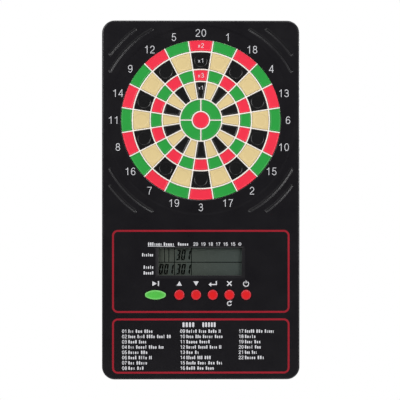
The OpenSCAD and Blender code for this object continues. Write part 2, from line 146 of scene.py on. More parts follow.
def arc(cx, cz, rx, rz, start, end, steps):
    """Points from angle start to angle end, both included."""
    turn = [start + (end - start) * i / steps for i in range(steps + 1)]
    return [(cx + rx * math.cos(a), cz + rz * math.sin(a)) for a in turn]


def rounded_rect(cx, cz, w, h, r, steps=10):
    def outline(grow=0.0):
        rr = max(r + grow, 0.05)
        hw, hh = w / 2 + grow - rr, h / 2 + grow - rr
        points = []
        for quarter, (sx, sz) in enumerate(((1, 1), (-1, 1), (-1, -1), (1, -1))):
            start = quarter * math.pi / 2
            points += arc(cx + sx * hw, cz + sz * hh, rr, rr, start, start + math.pi / 2, steps)
        return points
    return outline


def circle(cx, cz, r, steps=64):
    def outline(grow=0.0):
        return arc(cx, cz, r + grow, r + grow, 0, 2 * math.pi * (steps - 1) / steps, steps - 1)
    return outline


def oval(cx, cz, half_w, half_h, end_r, steps=14):
    """Oval of four arcs: two flat ones, and a small one at each end."""
    end_x = half_w - end_r
    flank_r = (end_x ** 2 + half_h ** 2 - end_r ** 2) / (2 * (half_h - end_r))
    shift = flank_r - half_h
    lean = math.atan2(shift, end_x)

    def outline(grow=0.0):
        r, small = flank_r + grow, end_r + grow
        points = arc(cx, cz - shift, r, r, lean, math.pi - lean, 2 * steps)
        points += arc(cx - end_x, cz, small, small, math.pi - lean, math.pi + lean, steps)[1:-1]
        points += arc(cx, cz + shift, r, r, math.pi + lean, 2 * math.pi - lean, 2 * steps)
        points += arc(cx + end_x, cz, small, small, -lean, lean, steps)[1:-1]
        return points
    return outline


def arc_slot(r, w, start, end, steps=28):
    """A curved slot about the middle of the target, with round ends."""
    def outline(grow=0.0):
        half = w / 2 + grow
        a = (r * math.cos(end), r * math.sin(end))
        b = (r * math.cos(start), r * math.sin(start))
        points = arc(0, 0, r + half, r + half, start, end, steps)
        points += arc(a[0], a[1], half, half, end, end + math.pi, 8)[1:-1]
        points += arc(0, 0, r - half, r - half, end, start, steps)
        points += arc(b[0], b[1], half, half, start + math.pi, start + 2 * math.pi, 8)[1:-1]
        return points
    return outline


def rounded_corners(points, corners, r, steps=4):
    """The same outline with the listed corners rounded off."""
    count = len(points)
    out = []
    for i, p in enumerate(points):
        if i not in corners:
            out.append(p)
            continue
        before, here, after = Vector(points[i - 1]), Vector(p), Vector(points[(i + 1) % count])
        a = here + (before - here).normalized() * min(r, (before - here).length * 0.8)
        b = here + (after - here).normalized() * min(r, (after - here).length * 0.8)
        for k in range(steps + 1):
            t = k / steps
            q = a * (1 - t) ** 2 + here * 2 * t * (1 - t) + b * t ** 2
            out.append((q.x, q.y))
    return out


def sector_cell(r_in, r_out, middle, half_angle, side, corner=0.6, steps=8, runs=6):
    """Part of a ring whose straight sides run parallel to the dividers; middle is its angle from +x."""
    def outline(grow=0.0):
        ri, ro, s = r_in - grow, r_out + grow, side - grow
        wide_in = half_angle - math.asin(s / ri)
        wide_out = half_angle - math.asin(s / ro)
        outer = arc(0, 0, ro, ro, middle - wide_out, middle + wide_out, steps)
        inner = arc(0, 0, ri, ri, middle + wide_in, middle - wide_in, steps)
        points = list(outer)
        for k in range(1, runs):
            t = k / runs
            points.append(tuple(Vector(outer[-1]).lerp(Vector(inner[0]), t)))
        points += inner
        for k in range(1, runs):
            t = k / runs
            points.append(tuple(Vector(inner[-1]).lerp(Vector(outer[0]), t)))
        first_inner = steps + runs
        corners = (0, steps, first_inner, first_inner + steps)
        return rounded_corners(points, corners, max(corner + grow, 0.1))
    return outline


def spoked_edge(r_in, r_tip, half_w, steps=10):
    """Outer edge of the grid: a circle with one spoke standing out between each pair of doubles."""
    def outline(grow=0.0):
        ri, half = r_in + grow, half_w + grow
        points = []
        for i in range(len(SECTORS)):
            a = (i + 0.5) * SECTOR
            lean_in, lean_tip = math.asin(half / ri), math.asin(half / (r_tip + grow))
            points += arc(0, 0, r_tip + grow, r_tip + grow, a - lean_tip, a + lean_tip, 2)
            points += arc(0, 0, ri, ri, a + lean_in, a + SECTOR - lean_in, steps)
        return points
    return outline


# ---------- solids ----------


def inside(points, ring):
    """For each of the points, whether the closed ring of points goes round it."""
    px, pz = points[:, 0], points[:, 1]
    ring = np.array(ring)
    following = np.roll(ring, -1, axis=0)
    hits = np.zeros(len(points), int)
    for (ax, az), (bx, bz) in zip(ring, following):
        if az == bz:
            continue
        crosses = (az > pz) != (bz > pz)
        hits += crosses & (px < (bx - ax) * (pz - az) / (bz - az) + ax)
    return hits % 2 == 1


class Solid:
    """Points and faces of one closed piece. Each point is (x, z, out) with its share of edge wear and painted
    edge highlight, from 0 to 1.
    """

    def __init__(self):
        self.points = []
        self.wear = []
        self.faces = []

    def ring(self, points, out, wear=0.0):
        first = len(self.points)
        self.points += [(x, z, out) for x, z in points]
        self.wear += [wear] * len(points)
        return list(range(first, len(self.points)))

    def wall(self, a, b):
        """Joins two rings of equally many points."""
        for i in range(len(a)):
            j = (i + 1) % len(a)
            self.faces.append((a[i], a[j], b[j], b[i]))

    def cap(self, rings):
        """Fills the flat region inside the first ring and outside the others."""
        index = [i for ring in rings for i in ring]
        place = {i: n for n, i in enumerate(index)}
        flat = [Vector(self.points[i][:2]) for i in index]
        edges = [(place[r[k]], place[r[(k + 1) % len(r)]]) for r in rings for k in range(len(r))]
        _, _, triangles, origins, _, _ = delaunay_2d_cdt(flat, edges, [], 1, 1e-6)
        triangles = [t for t in triangles if all(origins[v] for v in t)]
        corners = [tuple(index[origins[v][0]] for v in t) for t in triangles]
        middles = np.array([np.mean([self.points[i][:2] for i in t], axis=0) for t in corners])
        odd = np.zeros(len(corners), bool)
        for r in rings:
            odd ^= inside(middles, [self.points[i][:2] for i in r])
        self.faces += [t for t, keep in zip(corners, odd) if keep]

    def drill(self, holes, front, back, sign=1):
        """Runs each (outline, profile), and adds its first ring to front and its last to back."""
        for outline, profile in holes:
            rings = self.run(outline, profile, sign)
            front.append(rings[0])
            back.append(rings[-1])

    def sink(self, outline, profile, front):
        """Runs a blind hole, fills its floor, and adds its first ring to front."""
        rings = self.run(outline, profile)
        front.append(rings[0])
        self.cap([rings[-1]])

    def cap_ends(self, rings):
        """Fills the first and the last ring of a run."""
        self.cap([rings[0]])
        self.cap([rings[-1]])

    def point(self, x, z, out):
        self.points.append((x, z, out))
        self.wear.append(0.0)
        return len(self.points) - 1

    def fan(self, ring, tip):
        for i in range(len(ring)):
            self.faces.append((ring[i], ring[(i + 1) % len(ring)], tip))

    def run(self, outline, profile, sign=1):
        """Rings of one outline, joined by walls; a row of the profile is (grow, out) or (grow, out, share of
        edge wear and painted edge highlight).
        """
        rings = [self.ring(outline(sign * grow), out, *wear) for grow, out, *wear in profile]
        for a, b in zip(rings, rings[1:]):
            self.wall(a, b)
        return rings


def edge(radius, out, steps=3, downward=True):
    """Profile of a rounded edge that starts on the flat at out and ends on the side."""
    rows = []
    way = -1 if downward else 1
    for k in range(steps + 1):
        t = math.pi / 2 * k / steps
        # Share of edge wear and painted edge highlight, highest mid-way round the edge, where it catches the
        # light
        worn_and_lit = math.sin(2 * t) if steps > 1 else 0.5
        rows.append((-radius * (1 - math.sin(t)), out + way * radius * (1 - math.cos(t)), worn_and_lit))
    return rows


def plate(solid, outer, holes, front, back, front_edge, back_edge=0.0, steps=3):
    """Closed flat piece with rounded edges round its outer outline and its holes."""
    profile = edge(front_edge, front, steps)
    if back_edge:
        profile += edge(back_edge, back, steps, downward=False)[::-1]
    else:
        profile.append((0.0, back))
    fronts, backs = [], []
    solid.drill([(outer, profile)], fronts, backs)
    solid.drill([(hole, profile) for hole in holes], fronts, backs, -1)
    solid.cap(fronts)
    solid.cap(backs)


def add_object(name, data):
    obj = bpy.data.objects.new(name, data)
    bpy.context.scene.collection.objects.link(obj)
    return obj


def piece(name, solid, slot, body=CASE, nodes=(), material=None, sharp_angle=40):
    """Turns a Solid into an object that rides on a CAD body and stands for CAD nodes."""
    mesh = bpy.data.meshes.new(name)
    mesh.from_pydata([(x * MM, -out * MM, z * MM) for x, z, out in solid.points], [], solid.faces)
    worn_and_lit = mesh.attributes.new("wear", "FLOAT", "POINT")
    worn_and_lit.data.foreach_set("value", solid.wear)
    bm = bmesh.new()
    bm.from_mesh(mesh)
    bmesh.ops.delete(bm, geom=[v for v in bm.verts if not v.link_faces], context="VERTS")
    bmesh.ops.recalc_face_normals(bm, faces=bm.faces)
    bm.to_mesh(mesh)
    bm.free()
    mesh.shade_smooth()
    mesh.set_sharp_from_angle(angle=math.radians(sharp_angle))
    mesh.materials.append(MATERIALS[material or slot])
    obj = add_object(name, mesh)
    weigh = obj.modifiers.new("even_shading", "WEIGHTED_NORMAL")
    weigh.keep_sharp = True
    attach(obj, body)
    if nodes:
        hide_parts(*nodes)


# ---------- materials ----------


def linear(value):
    value /= 255
    return value / 12.92 if value <= 0.04045 else ((value + 0.055) / 1.055) ** 2.4


def colour(r, g, b):
    """A screen colour from 0 to 255 as the shader's linear colour."""
    return (linear(r), linear(g), linear(b), 1.0)


class Nodes:
    """Short way to write the node tree of a material or a world."""

    def __init__(self, owner, output="ShaderNodeOutputMaterial"):
        owner.use_nodes = True
        self.tree = owner.node_tree
        self.tree.nodes.clear()
        self.output = self.add(output)

    def add(self, kind, **settings):
        node = self.tree.nodes.new(kind)
        for key, value in settings.items():
            setattr(node, key, value)
        return node

    def link(self, a, b):
        self.tree.links.new(a, b)

    def surface(self, shader):
        self.link(shader.outputs[0], self.output.inputs["Surface"])

    def noise(self, scale, detail=3.0, roughness=0.5):
        coords = self.add("ShaderNodeTexCoord")
        node = self.add("ShaderNodeTexNoise")
        node.inputs["Scale"].default_value = scale
        node.inputs["Detail"].default_value = detail
        node.inputs["Roughness"].default_value = roughness
        self.link(coords.outputs["Object"], node.inputs["Vector"])
        return node.outputs["Fac"]

    def spread(self, value, low, high, from_low=0.3, from_high=0.7):
        """Maps from_low..from_high, which is most of what a noise gives, onto low..high."""
        node = self.add("ShaderNodeMapRange")
        node.inputs["From Min"].default_value = from_low
        node.inputs["From Max"].default_value = from_high
        node.inputs["To Min"].default_value = low
        node.inputs["To Max"].default_value = high
        self.link(value, node.inputs["Value"])
        return node.outputs["Result"]

    def mix(self, share, a, b):
        """Colour between a and b; each is a colour or a socket."""
        node = self.add("ShaderNodeMix", data_type="RGBA")
        ends = [s for s in node.inputs if s.type == "RGBA"]
        for socket, value in zip(ends, (a, b)):
            if isinstance(value, tuple):
                socket.default_value = value
            else:
                self.link(value, socket)
        self.link(share, node.inputs["Factor"])
        return [s for s in node.outputs if s.type == "RGBA"][0]

    def maths(self, operation, a, b, clamp=False):
        node = self.add("ShaderNodeMath", operation=operation, use_clamp=clamp)
        for socket, value in zip(node.inputs, (a, b)):
            if isinstance(value, float):
                socket.default_value = value
            else:
                self.link(value, socket)
        return node.outputs[0]

    def blend(self, share, first, second):
        """Mixes two shaders and sends them to the surface."""
        both = self.add("ShaderNodeMixShader")
        for socket, value in zip(both.inputs, (share, first.outputs[0], second.outputs[0])):
            self.link(value, socket)
        self.surface(both)


def shade(rgba, factor):
    return tuple(min(1.0, c * factor) for c in rgba[:3]) + (1.0,)


# Noises of the plastic: scale, detail and roughness
COLOUR_DRIFT = (22.0, 4.0, 0.6)
WEAR_AND_SHEEN_PATCHES = (160.0, 5.0, 0.65)
SMUDGES = (35.0, 5.0, 0.6)
SMUDGE_SPREAD = 0.03
SKIN_SPREAD = 0.04


def plastic(name, rgb, roughness, grain=1800.0, bump=0.012, worn_and_lit=1.35, coat=0.0, metallic=0.0,
            blotch=0.06, rim=None, gloss=0.5):
    """Moulded plastic: fine skin grain, slow colour drift, and rounded edges paler in patches: partly wear,
    partly a painted highlight where an edge would catch the light.

    grain is the noise scale of the skin and bump its height in millimetres. worn_and_lit is how much brighter
    such an edge is, and rim is a colour painted over the whole edge instead, a painted sheen on a cap's
    rounded rim.
    """
    rgba = colour(*rgb)
    material = bpy.data.materials.new(name)
    n = Nodes(material)
    shader = n.add("ShaderNodeBsdfPrincipled")
    shader.inputs["Metallic"].default_value = metallic
    shader.inputs["Coat Weight"].default_value = coat
    shader.inputs["Coat Roughness"].default_value = 0.12
    shader.inputs["Specular IOR Level"].default_value = gloss
    drift = n.spread(n.noise(*COLOUR_DRIFT), 0.0, 1.0)
    base = n.mix(drift, shade(rgba, 1 - blotch), shade(rgba, 1 + blotch))
    # The mesh's edge attribute lightens edges: partly wear, in patches, and partly a painted highlight on
    # rounded edges.
    edge_wear_and_sheen = n.add("ShaderNodeAttribute", attribute_name="wear")
    patchy = n.spread(n.noise(*WEAR_AND_SHEEN_PATCHES), 0.15, 0.9, 0.42, 0.62)
    rub_and_sheen = n.maths("MULTIPLY", edge_wear_and_sheen.outputs["Fac"], patchy)
    # A rim colour is a painted sheen over the whole rounded edge of a cap.
    if rim:
        base_with_lit_worn_edges = n.mix(edge_wear_and_sheen.outputs["Fac"], base, colour(*rim))
    else:
        base_with_lit_worn_edges = n.mix(rub_and_sheen, base, tuple(min(1.0, c * worn_and_lit + 0.004) for c in rgba[:3]) + (1.0,))
    n.link(base_with_lit_worn_edges, shader.inputs["Base Color"])
    smudge = n.spread(n.noise(*SMUDGES), roughness - SMUDGE_SPREAD, roughness + SMUDGE_SPREAD)
    skin = n.spread(n.noise(grain, 2.0, 0.5), -SKIN_SPREAD, SKIN_SPREAD)
    n.link(n.maths("ADD", smudge, skin, clamp=True), shader.inputs["Roughness"])
    bumps = n.add("ShaderNodeBump")
    bumps.inputs["Distance"].default_value = bump * MM
    bumps.inputs["Strength"].default_value = 0.6
    n.link(n.noise(grain, 3.0, 0.6), bumps.inputs["Height"])
    n.link(bumps.outputs["Normal"], shader.inputs["Normal"])
    n.surface(shader)
    return material


def clear_window(name):
    """Thin clear acrylic: what is behind shows through, under a faint sheen whose roughness varies with a
    noise.
    """
    material = bpy.data.materials.new(name)
    n = Nodes(material)
    through = n.add("ShaderNodeBsdfTransparent")
    through.inputs["Color"].default_value = (0.93, 0.95, 0.945, 1.0)
    sheen = n.add("ShaderNodeBsdfPrincipled")
    sheen.inputs["Base Color"].default_value = (0.02, 0.02, 0.02, 1.0)
    n.link(n.spread(n.noise(90.0, 6.0, 0.7), 0.03, 0.16), sheen.inputs["Roughness"])
    facing = n.add("ShaderNodeLayerWeight")
    facing.inputs["Blend"].default_value = 0.5
    steep = n.maths("POWER", facing.outputs["Facing"], 5.0)
    n.blend(n.spread(steep, 0.04, 1.0, 0.0, 1.0), through, sheen)
    return material


LCD_LEFT = colour(86, 88, 80)
LCD_RIGHT = colour(80, 86, 83)
LCD_MOTTLE = colour(66, 71, 69)


def lcd_surface(name):
    """Grey-green reflective display: a little warmer at its left end, with a faint cell mottling."""
    material = bpy.data.materials.new(name)
    n = Nodes(material)
    shader = n.add("ShaderNodeBsdfPrincipled")
    coords = n.add("ShaderNodeTexCoord")
    split = n.add("ShaderNodeSeparateXYZ")
    n.link(coords.outputs["Object"], split.inputs["Vector"])
    across = n.add("ShaderNodeMapRange")
    across.inputs["From Min"].default_value = (WINDOW_X - WINDOW_W / 2) * MM
    across.inputs["From Max"].default_value = (WINDOW_X + WINDOW_W / 2) * MM
    n.link(split.outputs["X"], across.inputs["Value"])
    fade = n.mix(across.outputs["Result"], LCD_LEFT, LCD_RIGHT)
    mottle = n.spread(n.noise(900.0, 2.0, 0.5), 0.0, 0.12)
    n.link(n.mix(mottle, fade, LCD_MOTTLE), shader.inputs["Base Color"])
    n.link(n.spread(n.noise(60.0, 4.0, 0.6), 0.28, 0.42), shader.inputs["Roughness"])
    n.surface(shader)
    return material


# Finish of each material slot: colour as seen on screen, roughness, and what differs from plain plastic
PLASTICS = {
    # The pale edges of the case and of the black segments are partly wear and partly a painted highlight on
    # their rounded edges.
    "case_black": ((13, 11, 16), 0.33, dict(grain=2200.0, bump=0.02, worn_and_lit=2.4, blotch=0.04)),
    "grid_cream": ((252, 245, 236), 0.34, dict(bump=0.006, worn_and_lit=1.04, blotch=0.02)),
    "segment_black": ((17, 17, 18), 0.3, dict(bump=0.006, worn_and_lit=1.8)),
    "segment_red": ((241, 44, 70), 0.42, dict(bump=0.008, worn_and_lit=1.06, blotch=0.03)),
    "segment_green": ((34, 156, 60), 0.42, dict(bump=0.008, worn_and_lit=1.1, blotch=0.03)),
    "segment_beige": ((223, 200, 144), 0.42, dict(bump=0.008, worn_and_lit=1.05, blotch=0.03)),
    # The caps' rim colours are a painted sheen on their rounded edges: paler on the green cap, pinker on the
    # red ones.
    "cap_red": ((220, 26, 30), 0.34, dict(bump=0.008, coat=0.2, rim=(206, 40, 56))),
    "cap_green": ((84, 190, 74), 0.34, dict(bump=0.008, coat=0.2, rim=(122, 208, 110))),
    "ink_white": ((212, 212, 216), 0.55, dict(grain=3000.0, bump=0.004, worn_and_lit=0.9)),
    "ink_red": ((150, 14, 34), 0.5, dict(grain=3000.0, bump=0.004, worn_and_lit=0.8, gloss=0.35)),
    "ink_black": ((3, 4, 3), 0.5, dict(grain=3000.0, bump=0.002, worn_and_lit=1.0, gloss=0.05)),
    "ink_ghost": ((76, 82, 78), 0.4, dict(grain=3000.0, bump=0.002, worn_and_lit=1.0)),
    "inner_black": ((38, 38, 42), 0.5, {}),
    "inner_white": ((233, 230, 224), 0.45, {}),
    "rubber_dark": ((52, 52, 54), 0.75, dict(grain=900.0, bump=0.03)),
    "rubber_grey": ((206, 202, 192), 0.7, dict(grain=900.0, bump=0.03)),
    "film_clear": ((200, 210, 214), 0.25, {}),
    "board_green": ((38, 104, 54), 0.35, dict(grain=700.0, bump=0.03)),
    "epoxy_black": ((20, 20, 21), 0.2, {}),
    "sleeve_blue": ((36, 64, 110), 0.3, {}),
    "screw_steel": ((176, 176, 180), 0.32, dict(grain=1200.0, metallic=1.0, bump=0.02)),
    "contact_nickel": ((205, 202, 194), 0.2, dict(grain=900.0, metallic=1.0)),
    "cell_wrap": ((58, 120, 88), 0.3, {}),
    "wire_red": ((182, 34, 32), 0.4, {}),
    "wire_black": ((26, 26, 28), 0.4, {}),
}
MATERIALS = {name: plastic(name, rgb, rough, **more) for name, (rgb, rough, more) in PLASTICS.items()}
MATERIALS["window_clear"] = clear_window("window_clear")
MATERIALS["lcd_panel"] = lcd_surface("lcd_panel")

# ---------- case ----------

CASE_OUTLINE = rounded_rect(0, CASE_MID, CASE_W, CASE_H, CORNER_R, 14)


def grown(outline, margin):
    return lambda grow=0.0: outline(grow + margin)


def next_outline():
    x, z = node_middle("next_button")
    return oval(x, z, NEXT_HALF_W, NEXT_HALF_H, NEXT_END_R)


def groove_outlines():
    for quarter in range(4):
        for r in GROOVE_RADII:
            start = math.acos(GROOVE_LIMIT / r)
            turn = quarter * math.pi / 2
            yield arc_slot(r, GROOVE_W, start + turn, math.pi / 2 - start + turn)


def window_rim(share):
    """Outline on the sloping rim of the display window, from 0 at the opening to 1 at the case's face."""
    side, above = share * RIM_W, share * RIM_TOP
    return rounded_rect(WINDOW_X, WINDOW_Z + (above - side) / 2, WINDOW_W + 2 * side, WINDOW_H + side + above,
                        0.8 + share * 0.8, 5)()


def button_outlines():
    yield grown(next_outline(), BUTTON_GAP)
    for name in ROUND_BUTTONS:
        x, z = node_middle(name)
        yield circle(x, z, CAP_R + BUTTON_GAP, 48)


# Edges of the openings in the face, as rows of how far each ring is outside the opening, how deep it is
# and its share of edge wear and painted edge highlight
STEP_EDGE = ((1.9, 0.0), (1.0, 0.05), (0.0, TARGET_STEP / 2),
             (-1.0, TARGET_STEP - 0.05), (-1.9, TARGET_STEP))
OPENING_EDGE = ((0.7, 0.0), (0.35, 0.12, 0.7), (0.0, 0.55, 0.4))
BUTTON_HOLE_EDGE = ((0.45, 0.0), (0.18, 0.1, 0.8), (0.0, 0.45, 0.4))
GROOVE_LIP = ((0.3, 0.0), (0.12, 0.06, 0.1))
GROOVE_SHARES = (0.08, 0.2, 0.34, 0.48, 0.62, 0.76, 0.88)
# The rows of the window's rim go by shares of its width
RIM_EDGE = ((1.07, 0.0), (0.94, 0.04), (0.04, RIM_DEPTH - 0.02), (0.0, RIM_DEPTH + 0.1, 0.3))


def below(out, rows, wider=0.0):
    """Profile that starts at height out, from rows of how far outside, how deep and perhaps the share of edge
    wear and painted edge highlight.
    """
    return [(wider + grow, out - depth, *worn_and_lit) for grow, depth, *worn_and_lit in rows]


def build_front_casing():
    s = Solid()
    shell = edge(CASE_EDGE, FACE, 7) + [(0.0, SPLIT + SEAM_BEVEL, 0.3), (-SEAM, SPLIT, 0.4),
                                        (-WALL, SPLIT), (-WALL, INNER)]
    outer = s.run(CASE_OUTLINE, shell)
    front, inner = [outer[0]], [outer[-1]]
    through = [(0.0, INNER)]

    # The numbers stand on a ring a little below the face, open in the middle for the target
    ring_edges = below(FACE, STEP_EDGE, STEP_R - OPENING_R) + below(FACE - TARGET_STEP, OPENING_EDGE)
    holes = [(circle(0, 0, OPENING_R, 160), ring_edges), (window_rim, below(FACE, RIM_EDGE))]
    holes += [(outline, below(FACE, BUTTON_HOLE_EDGE)) for outline in button_outlines()]
    s.drill([(outline, profile + through) for outline, profile in holes], front, inner)

    hollow = [(-share * GROOVE_W / 2, GROOVE_DEPTH * math.sin(share * math.pi / 2))
              for share in GROOVE_SHARES]
    for outline in groove_outlines():
        s.sink(outline, below(FACE, list(GROOVE_LIP) + hollow), front)
    s.cap(front)
    s.cap(inner)
    piece("front_shell", s, "case_black", nodes=["front_casing"])


POST_INSET = 12.0
POSTS = [(side * (CASE_W / 2 - POST_INSET), z) for z in (109, -122, -212, -303) for side in (-1, 1)]
POST_R = 4.6
POST_TOP = 14.0
SCREW_SEAT = 9.0
SCREW_WELL_R = 3.6
SCREW_HOLE_R = 1.7
BACK_EDGE = 1.6
LIP_GAP = 0.15
LIP_T = 1.4
LIP_H = 2.4
KEYHOLE_X = 80.0
KEYHOLE_Z = 78.0
KEYHOLE_R = 4.5
KEY_SLOT_R = 2.2
KEY_SLOT_L = 9.0
BAY_W = 57.2
BAY_H = 48.0
BAY_Z = -276.0
BAY_TOP = 18.0
BAY_WALL = 1.5
# Edges of the openings in the back, as profiles that start on it
WELL_EDGE = [(SCREW_WELL_R + 0.4, 0.0), (SCREW_WELL_R + 0.1, 0.12, 0.6), (SCREW_WELL_R, 0.5)]
KEYHOLE_EDGE = [(0.3, 0.0), (0.08, 0.1, 0.6), (0.0, 0.35)]
BAY_EDGE = [(0.25, 0.0), (0.07, 0.08, 0.6), (0.0, 0.3)]


def keyhole(cx, cz):
    """Round entry with a narrower slot above it."""
    def outline(grow=0.0):
        r, w = KEYHOLE_R + grow, KEY_SLOT_R + grow
        lean = math.acos(w / r)
        points = arc(cx, cz, r, r, math.pi - lean, 2 * math.pi + lean, 28)
        points += arc(cx, cz + KEY_SLOT_L, w, w, 0, math.pi, 10)
        return points
    return outline


def build_rear_casing():
    s = Solid()
    back_edge = [(grow - SEAM, -out, worn_and_lit) for grow, out, worn_and_lit in edge(BACK_EDGE, 0.0, 5)]
    rim = SPLIT - SEAM
    lip_out, lip_in = -WALL - LIP_GAP, -WALL - LIP_GAP - LIP_T
    outer = s.run(CASE_OUTLINE, back_edge + [
        (-SEAM, rim), (lip_out, rim), (lip_out, SPLIT + LIP_H),
        (lip_in, SPLIT + LIP_H), (lip_in, WALL)])
    well = WELL_EDGE + [(SCREW_WELL_R, SCREW_SEAT), (SCREW_HOLE_R, SCREW_SEAT),
                        (SCREW_HOLE_R, POST_TOP), (POST_R, POST_TOP), (POST_R, WALL)]
    holes = [(circle(x, z, 0, 32), well) for x, z in POSTS]
    holes += [(keyhole(side * KEYHOLE_X, KEYHOLE_Z), KEYHOLE_EDGE + [(0.0, WALL)]) for side in (-1, 1)]
    back, floor = [outer[0]], [outer[-1]]
    s.drill(holes, back, floor)
    bay = rounded_rect(0, BAY_Z, BAY_W, BAY_H, 0.4, 3)
    s.sink(bay, BAY_EDGE + [(0.0, BAY_TOP)], back)
    s.sink(bay, [(BAY_WALL, WALL), (BAY_WALL, BAY_TOP + BAY_WALL)], floor)
    s.cap(back)
    s.cap(floor)
    piece("rear_shell", s, "case_black", nodes=["rear_casing"])


# ---------- target ----------


def cell_angle(i):
    """Angle from +x of the middle of sector i, counted clockwise from the top."""
    return math.pi / 2 - i * SECTOR


GRID_FLANGE_W = 9.0
GRID_COLLAR_W = 2.5
GRID_COLLAR_H = 2.0
GRID_COLLAR_GAP = 0.2
GRID_FOOT_H = 6.0


def quadrant_angle(q):
    return math.pi / 4 + q * math.pi / 2


def build_grid():
    s = Solid()
    half = DIVIDER / 2
    holes = [circle(0, 0, BULL_HOLE, 64)]
    for q in range(4):
        holes.append(sector_cell(*BULL_CELL, quadrant_angle(q), math.pi / 4, half, 0.5, 14, 4))
    for i in range(len(SECTORS)):
        for cell in RING_CELLS[:3]:
            holes.append(sector_cell(*cell, cell_angle(i), SECTOR / 2, half, 0.5, 8, 2))
    double_in, double_out = RING_CELLS[3]
    plate(s, spoked_edge(double_in, double_out + 0.1, half), holes, GRID_TOP, GRID_REAR, GRID_EDGE, steps=4)

    # The rim behind the face: a collar inside the case's opening, a flange and a foot
    collar_top = INNER - GRID_COLLAR_GAP
    flange_top = GRID_REAR + GRID_COLLAR_H
    foot = GRID_REAR - GRID_FOOT_H
    rim = [(0.0, GRID_REAR), (0.0, collar_top), (GRID_COLLAR_W, collar_top), (GRID_COLLAR_W, flange_top),
           (GRID_FLANGE_W, flange_top), (GRID_FLANGE_W, foot), (GRID_FLANGE_W - GRID_COLLAR_W, foot),
           (GRID_FLANGE_W - GRID_COLLAR_W, GRID_REAR)]
    rings = s.run(circle(0, 0, double_out, 128), rim)
    s.wall(rings[-1], rings[0])
    piece("score_grid", s, "grid_cream", nodes=["segment_grid"])


HEAD_EDGE = 0.4
DISH_RIM = 0.7
ROUND_DISH_R = 8.0
DISH_DEPTH = 0.27
# The side of a dish: how far each ring is inside its rim, and how deep it is there
DISH_SIDE = ((0.0, 0.0), (0.1, 0.018), (0.25, 0.07), (0.4, 0.14), (0.55, 0.2), (0.7, 0.242),
             (0.85, DISH_DEPTH))


def start_head(s, outline):
    """Flange, sides and rounded edge of a segment, up to the rim of its dish."""
    flange = [(FLANGE_LIP, FLANGE_TOP - FLANGE_T), (FLANGE_LIP, FLANGE_TOP), (0.0, FLANGE_TOP)]
    rings = s.run(outline, flange + edge(HEAD_EDGE, SEGMENT_TOP, 4)[::-1])
    s.cap([rings[0]])
    return rings[-1]


def close_dish(s, outline, last):
    """Dish whose rim follows the head's outline."""
    rings = s.run(outline, [(-DISH_RIM - inset, SEGMENT_TOP - drop) for inset, drop in DISH_SIDE])
    s.wall(last, rings[0])
    s.cap([rings[-1]])


def close_round_dish(s, outline, last, centre, r):
    """Round dish of radius r about centre; each ring has a point for each point of the outline."""
    rim = [Vector(p) - Vector(centre) for p in outline(-DISH_RIM)]
    for inset, drop in DISH_SIDE:
        points = [tuple(Vector(centre) + p.normalized() * (r - inset)) for p in rim]
        ring = s.ring(points, SEGMENT_TOP - drop)
        s.wall(last, ring)
        last = ring
    s.cap([last])


FOOT_R = 1.6
FOOT_EDGE = 0.2
# Feet of the four segments of a sector, then of a quadrant and of the bullseye: radius and angle in degrees
FEET = (((32, 0), (41, 0)), ((55, -4), (55, 4)), ((68.5, -5), (68.5, 5), (77, -5), (77, 5)),
        ((90.7, -5.5), (90.7, 5.5)))
QUADRANT_FEET = ((18, -20), (18, 20))
EYE_FEET = ((5.5, 0), (5.5, 120), (5.5, 240))


def add_feet(s, feet, middle):
    for r, lean in feet:
        a = middle + math.radians(lean)
        foot = circle(r * math.cos(a), r * math.sin(a), FOOT_R, 24)
        side = [(-FOOT_EDGE, FEET_TIP), (0.0, FEET_TIP + FOOT_EDGE), (0.0, FEET_TIP + FEET_L)]
        s.cap_ends(s.run(foot, side))


def build_sector(i):
    number = SECTORS[i]
    shades = ("segment_black", "segment_red") if i % 2 == 0 else ("segment_beige", "segment_green")
    turn = cell_angle(i)
    body = f"sector_{number}"
    for k, cell in enumerate(RING_CELLS):
        outline = sector_cell(cell[0] + GAP, cell[1] - GAP, turn, SECTOR / 2, DIVIDER / 2 + GAP)
        s = Solid()
        rim = start_head(s, outline)
        if RING_NAMES[k] == "outer_single":
            mid = (cell[0] + cell[1]) / 2
            close_round_dish(s, outline, rim, (mid * math.cos(turn), mid * math.sin(turn)), ROUND_DISH_R)
        else:
            close_dish(s, outline, rim)
        add_feet(s, FEET[k], turn)
        slot = shades[k % 2]
        piece(f"segment_{number}_{RING_NAMES[k]}", s, slot, body, [body])


def build_bull():
    for q in range(4):
        turn = quadrant_angle(q)
        outline = sector_cell(BULL_CELL[0] + GAP, BULL_CELL[1] - GAP, turn, math.pi / 4,
                              DIVIDER / 2 + GAP, steps=16, runs=5)
        s = Solid()
        close_dish(s, outline, start_head(s, outline))
        add_feet(s, QUADRANT_FEET, turn)
        piece(f"outer_bull_quadrant_{q + 1}", s, "segment_green", "outer_bull", ["outer_bull"])
    s = Solid()
    outline = circle(0, 0, BULL_HOLE - GAP, 64)
    close_dish(s, outline, start_head(s, outline))
    add_feet(s, EYE_FEET, math.pi / 2)
    piece("bull_eye", s, "segment_red", "bullseye", ["bullseye"])


# ---------- buttons ----------

BUTTON_FLANGE_GAP = 0.6
BUTTON_FLANGE_OUT = INNER - BUTTON_FLANGE_GAP
BUTTON_FLANGE_T = 1.4
STEM_TIP = node_rear("up_button")
STEM_R = 3.4
STEM_EDGE = 0.3
CAP_EDGE = 0.9
CAP_EDGE_STEPS = 6
CAP_RIM_FLAT = 0.3
# The dish of a cap: share of the rim's size, and depth
CAP_DISH = ((0.93, 0.03), (0.84, 0.12), (0.7, 0.22), (0.5, 0.29), (0.25, 0.33))


